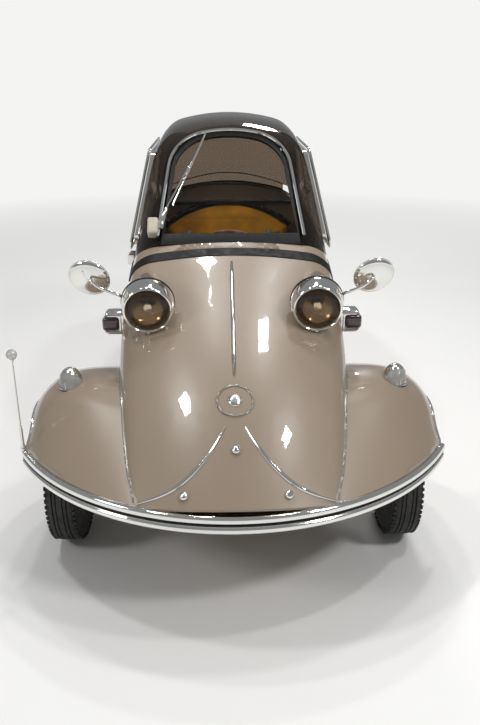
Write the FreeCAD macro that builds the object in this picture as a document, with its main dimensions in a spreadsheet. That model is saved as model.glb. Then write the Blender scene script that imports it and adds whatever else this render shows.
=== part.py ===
"""Bubble car: a three-wheeled, two-seat cabin scooter with a hinged dome.

Units are millimetres. X runs to the car's left, Y to its rear and Z up. The origin is on the
ground, under the middle of the body.
"""
import FreeCAD, Part
import Sketcher
import math
import os
from FreeCAD import Placement, Rotation, Vector

X = Vector(1, 0, 0)
Y = Vector(0, 1, 0)
Z = Vector(0, 0, 1)

# Driving sizes: name and value
SIZES = (
    # Overall
    ("body_length", 2820), ("body_width", 1220), ("body_height", 1205), ("wheelbase", 2030),
    ("front_axle_y", -900), ("front_track", 1010),
    # Body shell
    ("hinge_x", 352), ("hinge_pin", 5), ("shell_wall", 6), ("wing_wall", 4), ("dome_wall", 4), ("seat_gap", 0.3), ("joint_gap", 5),
    ("cowl_y", -617), ("pillar_y", -418), ("deck_y", 700), ("rear_hoop", 20), ("waist_z", 745), ("corner_radius", 90),
    ("cover_wall", 5), ("canopy_rail", 45), ("canopy_lip", 23), ("canopy_wall", 14),
    ("wing_top", 540), ("wing_top_y", -915), ("arch_radius", 186), ("arch_lift", 49),
    # Front band
    ("band_radius", 693), ("band_low", 318), ("band_height", 48), ("band_depth", 14), ("band_groove", 5),
    # Wheels
    ("tyre_radius", 205), ("tyre_width", 96), ("rim_radius", 103), ("rim_flange", 8), ("axle_radius", 12),
    ("hub_radius", 30), ("hub_cap_radius", 62), ("bore_clearance", 0.05),
    # Front suspension and steering
    ("kingpin_x", 425), ("kingpin_radius", 10), ("kingpin_boss", 16), ("fork_height", 112),
    ("fork_plate", 10), ("axle_tube_radius", 22), ("arm_length", 110), ("arm_drop", 12),
    ("rod_radius", 8), ("rod_pin", 6), ("column_radius", 12), ("column_tube", 18),
    ("bar_y", -330), ("bar_z", 745), ("drop_y", -790), ("drop_z", 182), ("bar_width", 330),
    ("drop_hole", 62), ("drop_reach", 60),
    # Cabin
    ("seat_width", 400), ("seat_height", 330), ("cushion_depth", 90), ("back_depth", 85),
    ("front_seat_y", -250), ("front_seat_length", 400), ("rear_seat_y", 330), ("front_back_height", 378),
    ("rear_back_height", 360), ("rear_back_width", 580),
    ("dash_y", -640), ("dash_low", 640), ("dash_depth", 6),
    # Screen
    ("screen_base_y", -575), ("screen_base_z", 865), ("screen_slope", 49), ("glass_depth", 5), ("glass_foot", 17), ("screen_frame", 12), ("window_rail", 15),
    # Lamps
    ("headlamp_x", 244), ("headlamp_y", -900), ("headlamp_z", 733), ("headlamp_radius", 75), ("bezel_depth", 50),
    ("wing_lamp_x", 469), ("wing_lamp_y", -950), ("wing_lamp_z", 545), ("wing_lamp_radius", 37),
    # Rear
    ("hinge_y", 1345), ("hinge_z", 330), ("rail_x", 100), ("rail_radius", 12),
    ("engine_length", 170), ("engine_width", 230), ("engine_height", 250), ("plate_number_width", 200),
)

doc = FreeCAD.newDocument("BubbleCar")
sheet = doc.addObject("Spreadsheet::Sheet", "size")
for row, (alias, value) in enumerate(SIZES, start=1):
    sheet.set("A%d" % row, alias)
    sheet.set("B%d" % row, str(value))
    sheet.setAlias("B%d" % row, alias)
doc.recompute()
S = {alias: float(sheet.get(alias)) for alias, value in SIZES}

nodes = []


def keep(piece):
    """Count a finished sub-part as one node."""
    nodes.append(piece)
    return piece


def feature(label, shape):
    """A sub-part whose shape comes from Part's own functions."""
    piece = doc.addObject("Part::Feature", label)
    place = shape.Placement
    piece.Shape = shape
    piece.Placement = place
    return keep(piece)


def number(formula):
    """Value of a formula in the sheet's names."""
    found = sheet.evalExpression(formula)
    return float(getattr(found, "Value", found))


def polygon(sketch, corners):
    """Closed outline with every corner (across, up) bound to the sheet."""
    points = [Vector(number(across), number(up), 0) for across, up in corners]
    count = len(points)
    for i in range(count):
        sketch.addGeometry(Part.LineSegment(points[i], points[(i + 1) % count]))
    for i in range(count):
        sketch.addConstraint(Sketcher.Constraint("Coincident", i, 2, (i + 1) % count, 1))
    for i, formulas in enumerate(corners):
        for kind, formula in zip(("DistanceX", "DistanceY"), formulas):
            index = sketch.addConstraint(Sketcher.Constraint(kind, -1, 1, i, 1, number(formula)))
            sketch.setExpression("Constraints[%d]" % index, formula)


def sketched(label, role, corners):
    """A body with one closed sketch on one of its own origin planes."""
    body = doc.addObject("PartDesign::Body", label)
    sketch = body.newObject("Sketcher::SketchObject", label + "_outline")
    plane = [found for found in body.Origin.OriginFeatures if found.Role == role][0]
    sketch.AttachmentSupport = (plane, [""])
    sketch.MapMode = "FlatFace"
    polygon(sketch, corners)
    return body, sketch


def turned(label, corners, place, axis="H_Axis", sweep="360"):
    """A body of revolution. Corners are (along, radius) about H_Axis or (radius, up) about V_Axis."""
    role = "XY_Plane" if axis == "H_Axis" else "XZ_Plane"
    body, sketch = sketched(label, role, corners)
    turn = body.newObject("PartDesign::Revolution", label + "_turn")
    turn.Profile = sketch
    turn.ReferenceAxis = (sketch, [axis])
    turn.Midplane = True
    turn.setExpression("Angle", sweep)
    body.Placement = place
    return keep(body)


def padded(label, role, corners, length, place):
    """A plate: an outline padded both ways from its plane."""
    body, sketch = sketched(label, role, corners)
    pad = body.newObject("PartDesign::Pad", label + "_pad")
    pad.Profile = sketch
    pad.Midplane = True
    pad.setExpression("Length", length)
    body.Placement = place
    return keep(body)


# Plain solids

def box(x0, x1, y0, y1, z0, z1):
    return Part.makeBox(x1 - x0, y1 - y0, z1 - z0, Vector(x0, y0, z0))


def rod(start, end, radius):
    """Solid round bar from one point to another."""
    run = end - start
    return Part.makeCylinder(radius, run.Length, start, run)


def tube(start, end, radius, bore):
    return rod(start, end, radius).cut(rod(start, end, bore))


def fused(shapes):
    whole = shapes[0].multiFuse(shapes[1:]) if len(shapes) > 1 else shapes[0]
    return whole.removeSplitter()


def both_sides(shape):
    """The shape and its mirror image across the car's middle."""
    return Part.makeCompound([shape, shape.mirror(Vector(), X)])


def mirrored(shape):
    return shape.mirror(Vector(), X)


# Cross-sections of the body and the dome, as arcs and lines

def meeting(a, ra, b, rb):
    """Upper crossing of two circles with centres a and b in (x, z)."""
    dx = b[0] - a[0]
    dz = b[1] - a[1]
    apart = math.hypot(dx, dz)
    along = (ra * ra - rb * rb + apart * apart) / (2 * apart)
    off = math.sqrt(ra * ra - along * along)
    found = []
    for side in (1, -1):
        found.append((a[0] + (along * dx - side * off * dz) / apart, a[1] + (along * dz + side * off * dx) / apart))
    return max(found, key=lambda point: point[1])


def beyond(centre, point, radius):
    """Point at the radius from the centre, through the given point."""
    dx = point[0] - centre[0]
    dz = point[1] - centre[1]
    reach = radius / math.hypot(dx, dz)
    return (centre[0] + dx * reach, centre[1] + dz * reach)


def between(centre, a, b, radius):
    """Middle of the arc from a to b about the centre."""
    return beyond(centre, ((a[0] + b[0]) / 2, (a[1] + b[1]) / 2), radius)


def hull_section(row, inset):
    """Closed wire across the car: crown, shoulders, bowed sides, bottom corners and floor."""
    y, half, widest_z, side_r, top, crown_r, shoulder_r, bottom, corner_r = row
    top -= inset
    crown_r -= inset
    side_r -= inset
    half -= inset
    shoulder_r -= inset
    corner_r -= inset
    bottom += inset
    crown = (0, top - crown_r)
    side = (half - side_r, widest_z)
    shoulder = meeting(crown, crown_r - shoulder_r, side, side_r - shoulder_r)
    a = beyond(crown, shoulder, crown_r)
    b = beyond(side, shoulder, side_r)
    corner_z = bottom + corner_r
    reach = math.sqrt((side_r - corner_r) ** 2 - (corner_z - widest_z) ** 2)
    corner = (side[0] + reach, corner_z)
    c = beyond(side, corner, side_r)
    d = (corner[0], bottom)
    right = ((a, between(shoulder, a, b, shoulder_r), b), (b, between(side, b, c, side_r), c),
             (c, between(corner, c, d, corner_r), d))

    def arc(points, sign):
        return Part.Arc(*[Vector(sign * x, y, z) for x, z in points]).toShape()

    edges = [arc(((-a[0], a[1]), (0, top), a), 1)]
    edges += [arc(points, 1) for points in right]
    edges.append(Part.makeLine(Vector(d[0], y, d[1]), Vector(-d[0], y, d[1])))
    edges += [arc(points[::-1], -1) for points in right[::-1]]
    return Part.Wire(edges)


def hull(table, inset):
    return Part.makeLoft([hull_section(row, inset) for row in table], True, False, False, 3)


nose = -S["body_length"] / 2
tail = S["body_length"] / 2
waist = S["waist_z"]
cowl = S["cowl_y"]
deck = S["deck_y"]
pillar = S["pillar_y"]

# Stations of the nose, cabin, tail and dome: y, half width, height of the widest place, side radius,
# top, crown radius, shoulder radius, bottom, bottom corner radius
NOSE = (
    (nose - 4, 273, 330, 900, 368, 560, 45, 215, 45),
    (-1215, 299, 360, 880, 511, 620, 72, 225, 60),
    (-1016, 327, 425, 850, 629, 710, 88, 236, 70),
    (-816, 349, 470, 820, 733, 870, 100, 236, 80),
    (cowl, 362, 480, 900, 841, 1500, 100, 214, 90),
    (pillar, 372, 490, 900, 912, 1500, 100, 198, 90),
)
CABIN = (
    (pillar, 372, 490, 900, 912, 1500, 100, 198, 90),
    (-45, 377, 490, 900, 930, 1500, 100, 190, 90),
    (328, 374, 490, 900, 900, 1300, 100, 190, 90),
    (deck, 350, 490, 900, 845, 800, 100, 200, 90),
)
TAIL = (
    (deck + S["joint_gap"], 350, 490, 900, 845, 800, 100, 200, 90),
    (882, 328, 480, 720, 795, 600, 100, 205, 90),
    (1058, 280, 455, 620, 713, 440, 90, 213, 80),
    (1234, 205, 420, 520, 598, 300, 76, 230, 66),
    (tail, 80, 372, 300, 440, 120, 40, 285, 40),
)
DOME = (
    (-640, 345, 415, 2500, 1030, 760, 105, 700, 30),
    (-480, 345, 415, 2500, 1115, 740, 105, 700, 30),
    (-320, 348, 415, 2500, 1172, 720, 110, 700, 30),
    (-160, 352, 415, 2500, 1200, 700, 112, 700, 30),
    (0, 353, 415, 2500, 1205, 700, 112, 700, 30),
    (160, 352, 415, 2500, 1197, 690, 112, 700, 30),
    (330, 348, 415, 2500, 1145, 660, 108, 700, 30),
    (505, 344, 415, 2500, 1037, 610, 98, 700, 30),
    (680, 338, 415, 2500, 868, 560, 60, 700, 30),
)

# Screen outline grown toward the rear: depth behind the screen, sideways growth, growth of the top
DOME_FRONT = ((0, 0, 0), (30, 46, 53), (67, 76, 106), (137, 104, 186), (230, 120, 280))


def body_hull(inset):
    """Nose and cabin as one solid."""
    return hull(NOSE, inset).fuse(hull(CABIN, inset))


body_outside = body_hull(0)


def side_prism(front, rear, low, radius, reach=1000, high=1600):
    """Block across the car from front to rear and above low, with rounded lower corners."""
    block = box(-reach, reach, front, rear, low, high)
    lower = [edge for edge in block.Edges if edge.BoundBox.ZMax < low + 1 and edge.BoundBox.YLength < 1]
    return block.makeFillet(radius, lower)


# Everything outside the front outline seen from above, which the band follows
band_centre = Vector(0, nose + S["band_radius"], 0)
front_radius = S["band_radius"] - S["band_depth"] - S["seat_gap"]


def trimmed_front(shape):
    """Cut a shape back to the inner face of the front band."""
    ahead = box(-900, 900, nose - 200, band_centre.y, -50, 1500)
    disc = Part.makeCylinder(front_radius, 1600, band_centre - Vector(0, 0, 60))
    return shape.cut(ahead.cut(disc))


def wing_section(row, inset):
    """Closed wire along the car at one x: front edge, slope, top, rear fall and lower edge."""
    x, top, rear_y, rear_z = row
    front_r = S["band_radius"] if inset == 0 else front_radius - inset
    front_y = band_centre.y - math.sqrt(front_r * front_r - x * x)
    edge_z = S["band_low"] + S["band_height"] - (8 if inset == 0 else inset + 1)
    low = S["band_low"] if inset == 0 else S["band_low"] - 120
    top -= inset
    run = S["wing_top_y"] - front_y
    rise = top - edge_z
    slope = math.atan(1.25 * rise / run)
    radius = (math.tan(slope) * run - rise) / (math.tan(slope) * math.sin(slope) - 1 + math.cos(slope))
    start = Vector(x, front_y, low)
    brow = Vector(x, front_y, edge_z)
    summit = Vector(x, S["wing_top_y"], top)
    bend = Vector(x, S["wing_top_y"] - radius * math.sin(slope), top - radius * (1 - math.cos(slope)))
    bend_mid = Vector(x, S["wing_top_y"] - radius * math.sin(slope / 2), top - radius * (1 - math.cos(slope / 2)))
    rear_y -= inset
    rear_z = rear_z if inset == 0 else rear_z - 120
    run = rear_y - summit.y
    fall = top - rear_z
    rear_r = (run * run + fall * fall) / (2 * fall)
    turn = math.atan2(run, rear_r - fall) / 2
    end = Vector(x, rear_y, rear_z)
    rear_mid = Vector(x, summit.y + rear_r * math.sin(turn), top - rear_r * (1 - math.cos(turn)))
    edges = [Part.makeLine(start, brow), Part.makeLine(brow, bend), Part.Arc(bend, bend_mid, summit).toShape(),
             Part.Arc(summit, rear_mid, end).toShape(), Part.makeLine(end, start)]
    return Part.Wire(edges)


wing_edge = S["body_width"] / 2 - S["band_depth"] / 2

# Wing stations: x, top, rear y, rear z
WING = (
    (250, S["wing_top"], -560, 250),
    (400, S["wing_top"], -580, 255),
    (470, S["wing_top"] - 6, -605, 262),
    (530, S["wing_top"] - 30, -640, 275),
    (572, S["wing_top"] - 72, -690, 295),
    (wing_edge, S["wing_top"] - 145, -760, 325),
)


def make_wing():
    outer = Part.makeLoft([wing_section(row, 0) for row in WING], True)
    wall = S["wing_wall"]
    inner_rows = [row for row in WING[:-1]] + [(WING[-1][0] - wall,) + WING[-1][1:]]
    inner = Part.makeLoft([wing_section(row, wall) for row in inner_rows], True)
    arch_centre = Vector(520, S["front_axle_y"], S["tyre_radius"] + S["arch_lift"])
    arch = Part.makeCylinder(S["arch_radius"], 200, arch_centre, X)
    under = box(520, 720, S["front_axle_y"] - S["arch_radius"], S["front_axle_y"] + S["arch_radius"],
                100, S["tyre_radius"] + S["arch_lift"])
    return trimmed_front(outer).cut(inner).cut(arch).cut(under).cut(body_outside)


def region(front, rear, low, radius):
    """Cockpit block, set back by front and rear from its ends and raised by low."""
    return side_prism(cowl + front, deck - S["rear_hoop"] - rear, waist + low, radius)


def chin(inset):
    """Everything under the slope that rises from the belly to the band."""
    line = ((nose - 60, S["band_low"] + 29), (-1290, S["band_low"]), (-1080, 226))
    points = [Vector(-700, y, z + inset) for y, z in line]
    points = [Vector(-700, nose - 60, -50)] + points + [Vector(-700, -1080, -50)]
    return Part.Face(Part.makePolygon(points + points[:1])).extrude(X * 1400)


# Body shell
wall = S["shell_wall"]
opening = region(0, 0, 0, S["corner_radius"])
nose_outside = trimmed_front(hull(NOSE, 0)).cut(chin(0))
cabin_outside = hull(CABIN, 0)
cabin_inside = hull(CABIN, wall).cut(box(-900, 900, deck - wall, deck + 10, 0, 1500))
tub_shell = cabin_outside.cut(cabin_inside).cut(opening)

drop_y = S["drop_y"] + S["drop_reach"]
floor_hole = rod(Vector(0, drop_y, 150), Vector(0, drop_y, 300), S["drop_hole"])
nose_shell = nose_outside.cut(hull(NOSE, wall).cut(chin(wall))).cut(floor_hole).cut(opening)
feature("nose_panel", nose_shell)
feature("tub", tub_shell)

wing = make_wing()
feature("wing_left", wing)
feature("wing_right", mirrored(wing))

band_place = Placement(band_centre, Rotation(Z, -90))
turned("front_band", (
    ("size.band_radius - size.band_depth", "size.band_low"),
    ("size.band_radius", "size.band_low"),
    ("size.band_radius", "size.band_low + size.band_height * 0.36"),
    ("size.band_radius - size.band_groove", "size.band_low + size.band_height * 0.36"),
    ("size.band_radius - size.band_groove", "size.band_low + size.band_height * 0.62"),
    ("size.band_radius", "size.band_low + size.band_height * 0.62"),
    ("size.band_radius", "size.band_low + size.band_height"),
    ("size.band_radius - size.band_depth", "size.band_low + size.band_height"),
), band_place, "V_Axis", "2 * asin(size.body_width / 2 / size.band_radius)")

# Rubber seal around the cockpit, on the outside of the skin
seal_skin = body_hull(-3).cut(body_hull(-S["seat_gap"]))
seal = seal_skin.common(region(-30, 2 - S["rear_hoop"], -30, S["corner_radius"] + 30)).cut(opening)

# Canopy: lower frame, dome, screen frame and glass
gap = S["joint_gap"]
rail = body_outside.cut(body_hull(S["canopy_wall"]))
rail_outer = region(gap, gap, gap, S["corner_radius"])
rail_inner = region(S["canopy_lip"], S["canopy_lip"], S["canopy_rail"], S["corner_radius"])
canopy_frame = rail.common(rail_outer).cut(rail_inner)

# Canopy hinges on the right side: ears and pin on the body, a lug on the frame
HINGE_STATIONS = (-330, 330)
hinge_x = -S["hinge_x"]
hinge_pin_z = S["waist_z"] + 3
hinge_pins = []
lugs = []
for y in HINGE_STATIONS:
    centre = Vector(hinge_x, y, hinge_pin_z)
    ears = [rod(centre - Y * 22, centre + Y * 22, S["hinge_pin"])]
    for side in (-1, 1):
        ear_y = y + side * 16
        ears.append(box(hinge_x - 9, hinge_x + 40, ear_y - 5, ear_y + 5, hinge_pin_z - 26, hinge_pin_z + 7))
    swing_room = hull(CABIN, -S["joint_gap"]).common(box(-900, 0, y - 30, y + 30, waist, waist + 60))
    hinge_pins.append(fused(ears).cut(cabin_outside).cut(swing_room))
    lug = rod(centre - Y * 10, centre + Y * 10, 9).fuse(box(hinge_x, hinge_x + 40, y - 10, y + 10, hinge_pin_z + 3,
                                                            hinge_pin_z + 16))
    bore = rod(centre - Y * 30, centre + Y * 30, S["hinge_pin"] + S["bore_clearance"])
    lugs.append(lug.cut(cabin_outside).cut(bore))
hinge_pair = Part.makeCompound(hinge_pins)
feature("canopy_hinges", hinge_pair)
feature("cockpit_seal", seal.cut(hinge_pair))
feature("canopy_frame", fused([canopy_frame] + lugs))

seat = S["seat_gap"]
slope = math.radians(S["screen_slope"])
screen_base = Vector(0, S["screen_base_y"], S["screen_base_z"])
screen_up = Vector(0, math.cos(slope), math.sin(slope))
screen_out = Vector(0, -math.sin(slope), math.cos(slope))


def ahead_of_screen(depth):
    """Half space in front of the screen plane, set back by depth."""
    block = box(-600, 600, -600, 900, 0, 500)
    turn = Rotation(X, S["screen_slope"])
    block.Placement = Placement(screen_base - screen_out * depth, turn)
    return block


def screen_wire(depth, wider, taller, foot):
    """Outline of the screen on a plane behind it: straight sides, round upper corners and an arched top."""
    def at(across, along):
        return screen_base + X * across + screen_up * along - screen_out * depth

    def side(sign):
        return (at(sign * (198 + wider), 262 + taller * 0.6), at(sign * (168 + wider * 0.85), 340 + taller * 0.85),
                at(sign * (102 + wider * 0.5), 387 + taller))

    low = 231 + wider
    right = side(1)
    left = side(-1)
    return Part.Wire([Part.makeLine(at(-low, foot), at(low, foot)), Part.makeLine(at(low, foot), right[0]),
                      Part.Arc(*right).toShape(), Part.Arc(right[2], at(0, 401 + taller), left[2]).toShape(),
                      Part.Arc(*left[::-1]).toShape(), Part.makeLine(left[0], at(-low, foot))])


def dome_block(inset):
    """Solid dome: its long hull, narrowed in front to the screen's outline."""
    wires = [screen_wire(depth, wider - inset, taller - inset, -60) for depth, wider, taller in DOME_FRONT]
    front = Part.makeLoft(wires, True, False, False, 3)
    behind = box(-600, 600, -600, 900, -1600, -DOME_FRONT[-1][0])
    behind.Placement = Placement(screen_base, Rotation(X, S["screen_slope"]))
    return hull(DOME, inset).common(front.fuse(behind))


# Side windows: y and z of the four corners, seen from the side
WINDOW = ((-486, 812), (-300, 1100), (170, 1092), (395, 812))


def window_block(inset):
    """Block across the car through both side windows, with rounded corners."""
    middle_y = sum(point[0] for point in WINDOW) / 4
    middle_z = sum(point[1] for point in WINDOW) / 4
    shrink_y = 1 - 2.2 * inset / (WINDOW[3][0] - WINDOW[0][0])
    shrink_z = 1 - 2 * inset / (WINDOW[1][1] - WINDOW[0][1])
    points = [Vector(-900, middle_y + (y - middle_y) * shrink_y, middle_z + (z - middle_z) * shrink_z)
              for y, z in WINDOW]
    block = Part.Face(Part.makePolygon(points + points[:1])).extrude(X * 1800)
    across = [edge for edge in block.Edges if edge.BoundBox.XLength > 1000]
    return block.makeFillet(34 - inset, across)


def window_side(face):
    """Everything outward of the window's flat, leaning plane at the car's left."""
    lean = 0.21
    low = 332 - face - lean * (700 - 790)
    high = 332 - face - lean * (1300 - 790)
    corners = [Vector(low, -900, 700), Vector(900, -900, 700), Vector(900, -900, 1300), Vector(high, -900, 1300)]
    return Part.Face(Part.makePolygon(corners + corners[:1])).extrude(Y * 1800)


rim = S["canopy_lip"] + seat
dome_zone = region(rim, rim, S["canopy_rail"] + seat, S["corner_radius"])
dome_outside = dome_block(0)
dome_skin = dome_outside.cut(dome_block(S["dome_wall"])).common(dome_zone)
window_hole = window_block(S["window_rail"]).cut(box(-240, 240, -900, 900, 0, 1500))
feature("dome", dome_skin.cut(window_hole))

screen_slab = dome_block(S["dome_wall"] + seat).common(dome_zone).common(ahead_of_screen(12))


def screen_opening(inset):
    """Block through the screen inside its frame."""
    return Part.Face(screen_wire(40, -inset, -inset, S["glass_foot"])).extrude(screen_out * 80)


frame_inset = S["dome_wall"] + S["screen_frame"]
feature("windscreen_frame", screen_slab.cut(screen_opening(frame_inset)))
pane = screen_opening(frame_inset + seat)
pane = pane.common(ahead_of_screen(8.5)).cut(ahead_of_screen(8.5 - S["glass_depth"]))
feature("windscreen_glass", pane)

half_room = box(0, 900, -900, 900, 0, 1500)
window_ring = window_block(0).cut(window_block(S["window_rail"])).common(half_room)
window_ring = window_ring.cut(window_side(0)).cut(dome_outside).cut(hull(DOME, -seat))
feature("side_window_frames", both_sides(window_ring))
window_pane = window_block(S["window_rail"] + seat).common(half_room)
window_pane = window_pane.common(window_side(S["glass_depth"] + 2)).cut(window_side(2))
feature("side_windows", both_sides(window_pane))

# Tail cover, open below
cover_outside = hull(TAIL, 0)
cover_inside = hull(TAIL, S["cover_wall"])
cut_low = Part.makePolygon([Vector(-600, deck - 50, 100), Vector(-600, tail + 50, 100), Vector(-600, tail + 50, 306),
                            Vector(-600, deck - 50, 236), Vector(-600, deck - 50, 100)])
below = Part.Face(cut_low).extrude(X * 1200)
front_open = box(-900, 900, deck, deck + 2 * S["joint_gap"], 0, 900).common(cover_inside)
rear_wall = box(-900, 900, tail - S["cover_wall"], tail + 10, 0, 900)
cavity = cover_inside.cut(rear_wall)
cover_shell = cover_outside.cut(cavity).cut(front_open).cut(below)
hinge = Vector(0, S["hinge_y"], S["hinge_z"])
pin_radius = S["rod_radius"]
lugs = []
for side in (-1, 1):
    lug = box(side * 60 - 5, side * 60 + 5, S["hinge_y"] - 16, S["hinge_y"] + 16, S["hinge_z"] - 16, S["hinge_z"] + 200)
    lug = lug.common(cover_outside).cut(rod(hinge - X * 90, hinge + X * 90, pin_radius + S["bore_clearance"]))
    lugs.append(lug)
swing = Part.makeCylinder(S["hinge_y"] - deck - S["joint_gap"], 1800, hinge - X * 900, X)
low_front = box(-900, 900, deck, S["hinge_y"], 0, S["hinge_z"]).cut(swing)
feature("engine_cover", fused([cover_shell.cut(low_front)] + lugs))

# Wheels
wheel_z = S["tyre_radius"]
rear_axle_y = S["front_axle_y"] + S["wheelbase"]
WHEELS = (
    ("front_left", S["front_track"] / 2, S["front_axle_y"], 1),
    ("front_right", -S["front_track"] / 2, S["front_axle_y"], -1),
    ("rear", 0, rear_axle_y, 1),
)
# Tyre section: along the axle as a share of the width, radius
TYRE_SECTION = [(share * S["tyre_width"], radius) for share, radius in (
    (-0.31, S["rim_radius"] + S["seat_gap"]), (-0.44, S["rim_radius"] + S["rim_flange"]),
    (-0.5, S["tyre_radius"] * 0.75), (-0.44, S["tyre_radius"] * 0.92), (-0.26, S["tyre_radius"]),
    (0.26, S["tyre_radius"]), (0.44, S["tyre_radius"] * 0.92), (0.5, S["tyre_radius"] * 0.75),
    (0.44, S["rim_radius"] + S["rim_flange"]), (0.31, S["rim_radius"] + S["seat_gap"]))]


def faceted_ring(section, sides, place):
    """Ring about X in flat facets, which keeps its mesh light; the section is (along, radius)."""
    faces = []
    for step in range(sides):
        ends = []
        for turn in (2 * math.pi * step / sides, 2 * math.pi * (step + 1) / sides):
            ends.append([Vector(along, radius * math.sin(turn), radius * math.cos(turn)) for along, radius in section])
        for i in range(len(section)):
            corners = [ends[0][i - 1], ends[0][i], ends[1][i], ends[1][i - 1]]
            faces.append(Part.Face(Part.makePolygon(corners + corners[:1])))
    shell = Part.makeShell(faces)
    shell.sewShape()
    ring = Part.makeSolid(shell)
    if ring.Volume < 0:
        ring.reverse()
    ring.Placement = place
    return ring


for name, x, y, side in WHEELS:
    place = Placement(Vector(x, y, wheel_z), Rotation(Z, 0 if side > 0 else 180))
    feature("tyre_" + name, faceted_ring(TYRE_SECTION, 48, place))
    turned("rim_" + name, (
        ("-35", "size.axle_radius + size.bore_clearance"),
        ("-35", "size.hub_radius"),
        ("-8", "size.hub_radius"),
        ("-8", "size.rim_radius - 6"),
        ("-size.tyre_width * 0.44 - 4", "size.rim_radius - 6"),
        ("-size.tyre_width * 0.44 - 4", "size.rim_radius + size.rim_flange"),
        ("-size.tyre_width * 0.44 - size.seat_gap", "size.rim_radius + size.rim_flange"),
        ("-size.tyre_width * 0.44 - size.seat_gap", "size.rim_radius"),
        ("size.tyre_width * 0.44 + size.seat_gap", "size.rim_radius"),
        ("size.tyre_width * 0.44 + size.seat_gap", "size.rim_radius + size.rim_flange"),
        ("size.tyre_width * 0.44 + 4", "size.rim_radius + size.rim_flange"),
        ("size.tyre_width * 0.44 + 4", "size.rim_radius - 6"),
        ("2", "size.rim_radius - 6"),
        ("2", "size.hub_radius"),
        ("20", "size.hub_radius"),
        ("20", "size.axle_radius + size.bore_clearance"),
    ), place)
for name, x, y, side in WHEELS[:2]:
    place = Placement(Vector(x, y, wheel_z), Rotation(Z, 0 if side > 0 else 180))
    turned("hub_cap_" + name, (
        ("2", "size.hub_cap_radius"),
        ("2", "size.hub_cap_radius - 4"),
        ("20", "size.hub_radius + 4"),
        ("26", "1"),
        ("32", "1"),
        ("27", "size.hub_radius"),
        ("10", "size.hub_cap_radius - 3"),
    ), place)

# Front axle beam with its forks, and the knuckles
axle_y = S["front_axle_y"]
king_x = S["kingpin_x"]
half_fork = S["fork_height"] / 2
plate = S["fork_plate"]
boss = S["kingpin_boss"]
beam_end = king_x - boss - 24
beam = [rod(Vector(-beam_end, axle_y, wheel_z), Vector(beam_end, axle_y, wheel_z), S["axle_tube_radius"])]
for side in (-1, 1):
    for level in (-1, 1):
        z = wheel_z + level * (half_fork + plate / 2)
        xs = sorted((side * (beam_end - 8), side * (king_x + boss + 4)))
        leaf = box(xs[0], xs[1], axle_y - 20, axle_y + 20, z - plate / 2, z + plate / 2)
        beam.append(leaf.cut(rod(Vector(side * king_x, axle_y, z - 20), Vector(side * king_x, axle_y, z + 20),
                                 S["kingpin_radius"] + S["bore_clearance"])))
    xs = sorted((side * (beam_end - 8), side * (beam_end + 8)))
    beam.append(box(xs[0], xs[1], axle_y - 20, axle_y + 20, wheel_z - half_fork, wheel_z + half_fork))
for x in (-150, 150):
    foot = box(x - 20, x + 20, axle_y - 25, axle_y + 25, wheel_z, 300)
    beam.append(foot.cut(body_outside))
feature("front_axle", fused(beam))

arm_z = wheel_z - S["arm_drop"]
arm_y = axle_y + S["arm_length"]


def make_knuckle(pin_clearance):
    king = Vector(king_x, axle_y, 0)
    barrel = rod(king + Z * (wheel_z - half_fork + 1), king + Z * (wheel_z + half_fork - 1), boss)
    kingpin = rod(king + Z * (wheel_z - half_fork - plate), king + Z * (wheel_z + half_fork + plate), S["kingpin_radius"])
    hub_end = S["front_track"] / 2 + 19
    stub = rod(Vector(king_x, axle_y, wheel_z), Vector(hub_end, axle_y, wheel_z), S["axle_radius"])
    arm = rod(Vector(king_x, axle_y, arm_z), Vector(king_x, arm_y - 12, arm_z), 8)
    eye = rod(Vector(king_x, arm_y, arm_z - 9), Vector(king_x, arm_y, arm_z + 9), 15)
    hole = rod(Vector(king_x, arm_y, arm_z - 20), Vector(king_x, arm_y, arm_z + 20), S["rod_pin"] + pin_clearance)
    return fused([barrel, kingpin, stub, arm, eye]).cut(hole)


feature("knuckle_left", make_knuckle(S["bore_clearance"]))
feature("knuckle_right", mirrored(make_knuckle(2)))

rod_z = arm_z - 9 - S["rod_radius"] - 1
track = [rod(Vector(-king_x, arm_y, rod_z), Vector(king_x, arm_y, rod_z), S["rod_radius"])]
for side in (-1, 1):
    track.append(rod(Vector(side * king_x, arm_y, rod_z), Vector(side * king_x, arm_y, arm_z + 9), S["rod_pin"]))
feature("track_rod", fused(track))

# Steering: inclined column, fixed tube, bar and drop arm
bar_point = Vector(0, S["bar_y"], S["bar_z"])
drop_point = Vector(0, drop_y, S["drop_z"] + S["drop_reach"])
column = drop_point - bar_point
column_unit = column * (1 / column.Length)
shaft = rod(bar_point, drop_point, S["column_radius"])
half_bar = S["bar_width"] / 2
bar = [shaft, rod(bar_point - X * half_bar * 0.45, bar_point + X * half_bar * 0.45, 11)]
for side in (-1, 1):
    low_end = bar_point + X * side * half_bar * 0.45
    grip = bar_point + X * side * half_bar + Vector(0, 70, 25)
    bar.append(rod(low_end, grip, 11))
    bar.append(rod(grip, grip + Vector(side * 12, 60, 15), 15))
    bar.append(Part.makeSphere(11, low_end))
    bar.append(Part.makeSphere(11, grip))
lever = rod(drop_point, drop_point + Vector(0, -45, -14), 8)
bar.append(lever)
feature("steering_bar", fused(bar))
sleeve = tube(bar_point + column_unit * 60, bar_point + column_unit * (column.Length - 60), S["column_tube"],
              S["column_radius"] + S["bore_clearance"])
stay_z = S["dash_low"] + 8
stay_y = bar_point.y + column_unit.y / column_unit.z * (stay_z - bar_point.z)
stay = box(-14, 14, S["dash_y"] + S["dash_depth"] + seat, stay_y + 8, stay_z - 7, stay_z + 7)
stay = stay.cut(rod(bar_point, drop_point, S["column_radius"] + S["bore_clearance"]))
feature("steering_column", fused([sleeve, stay]))

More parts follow.
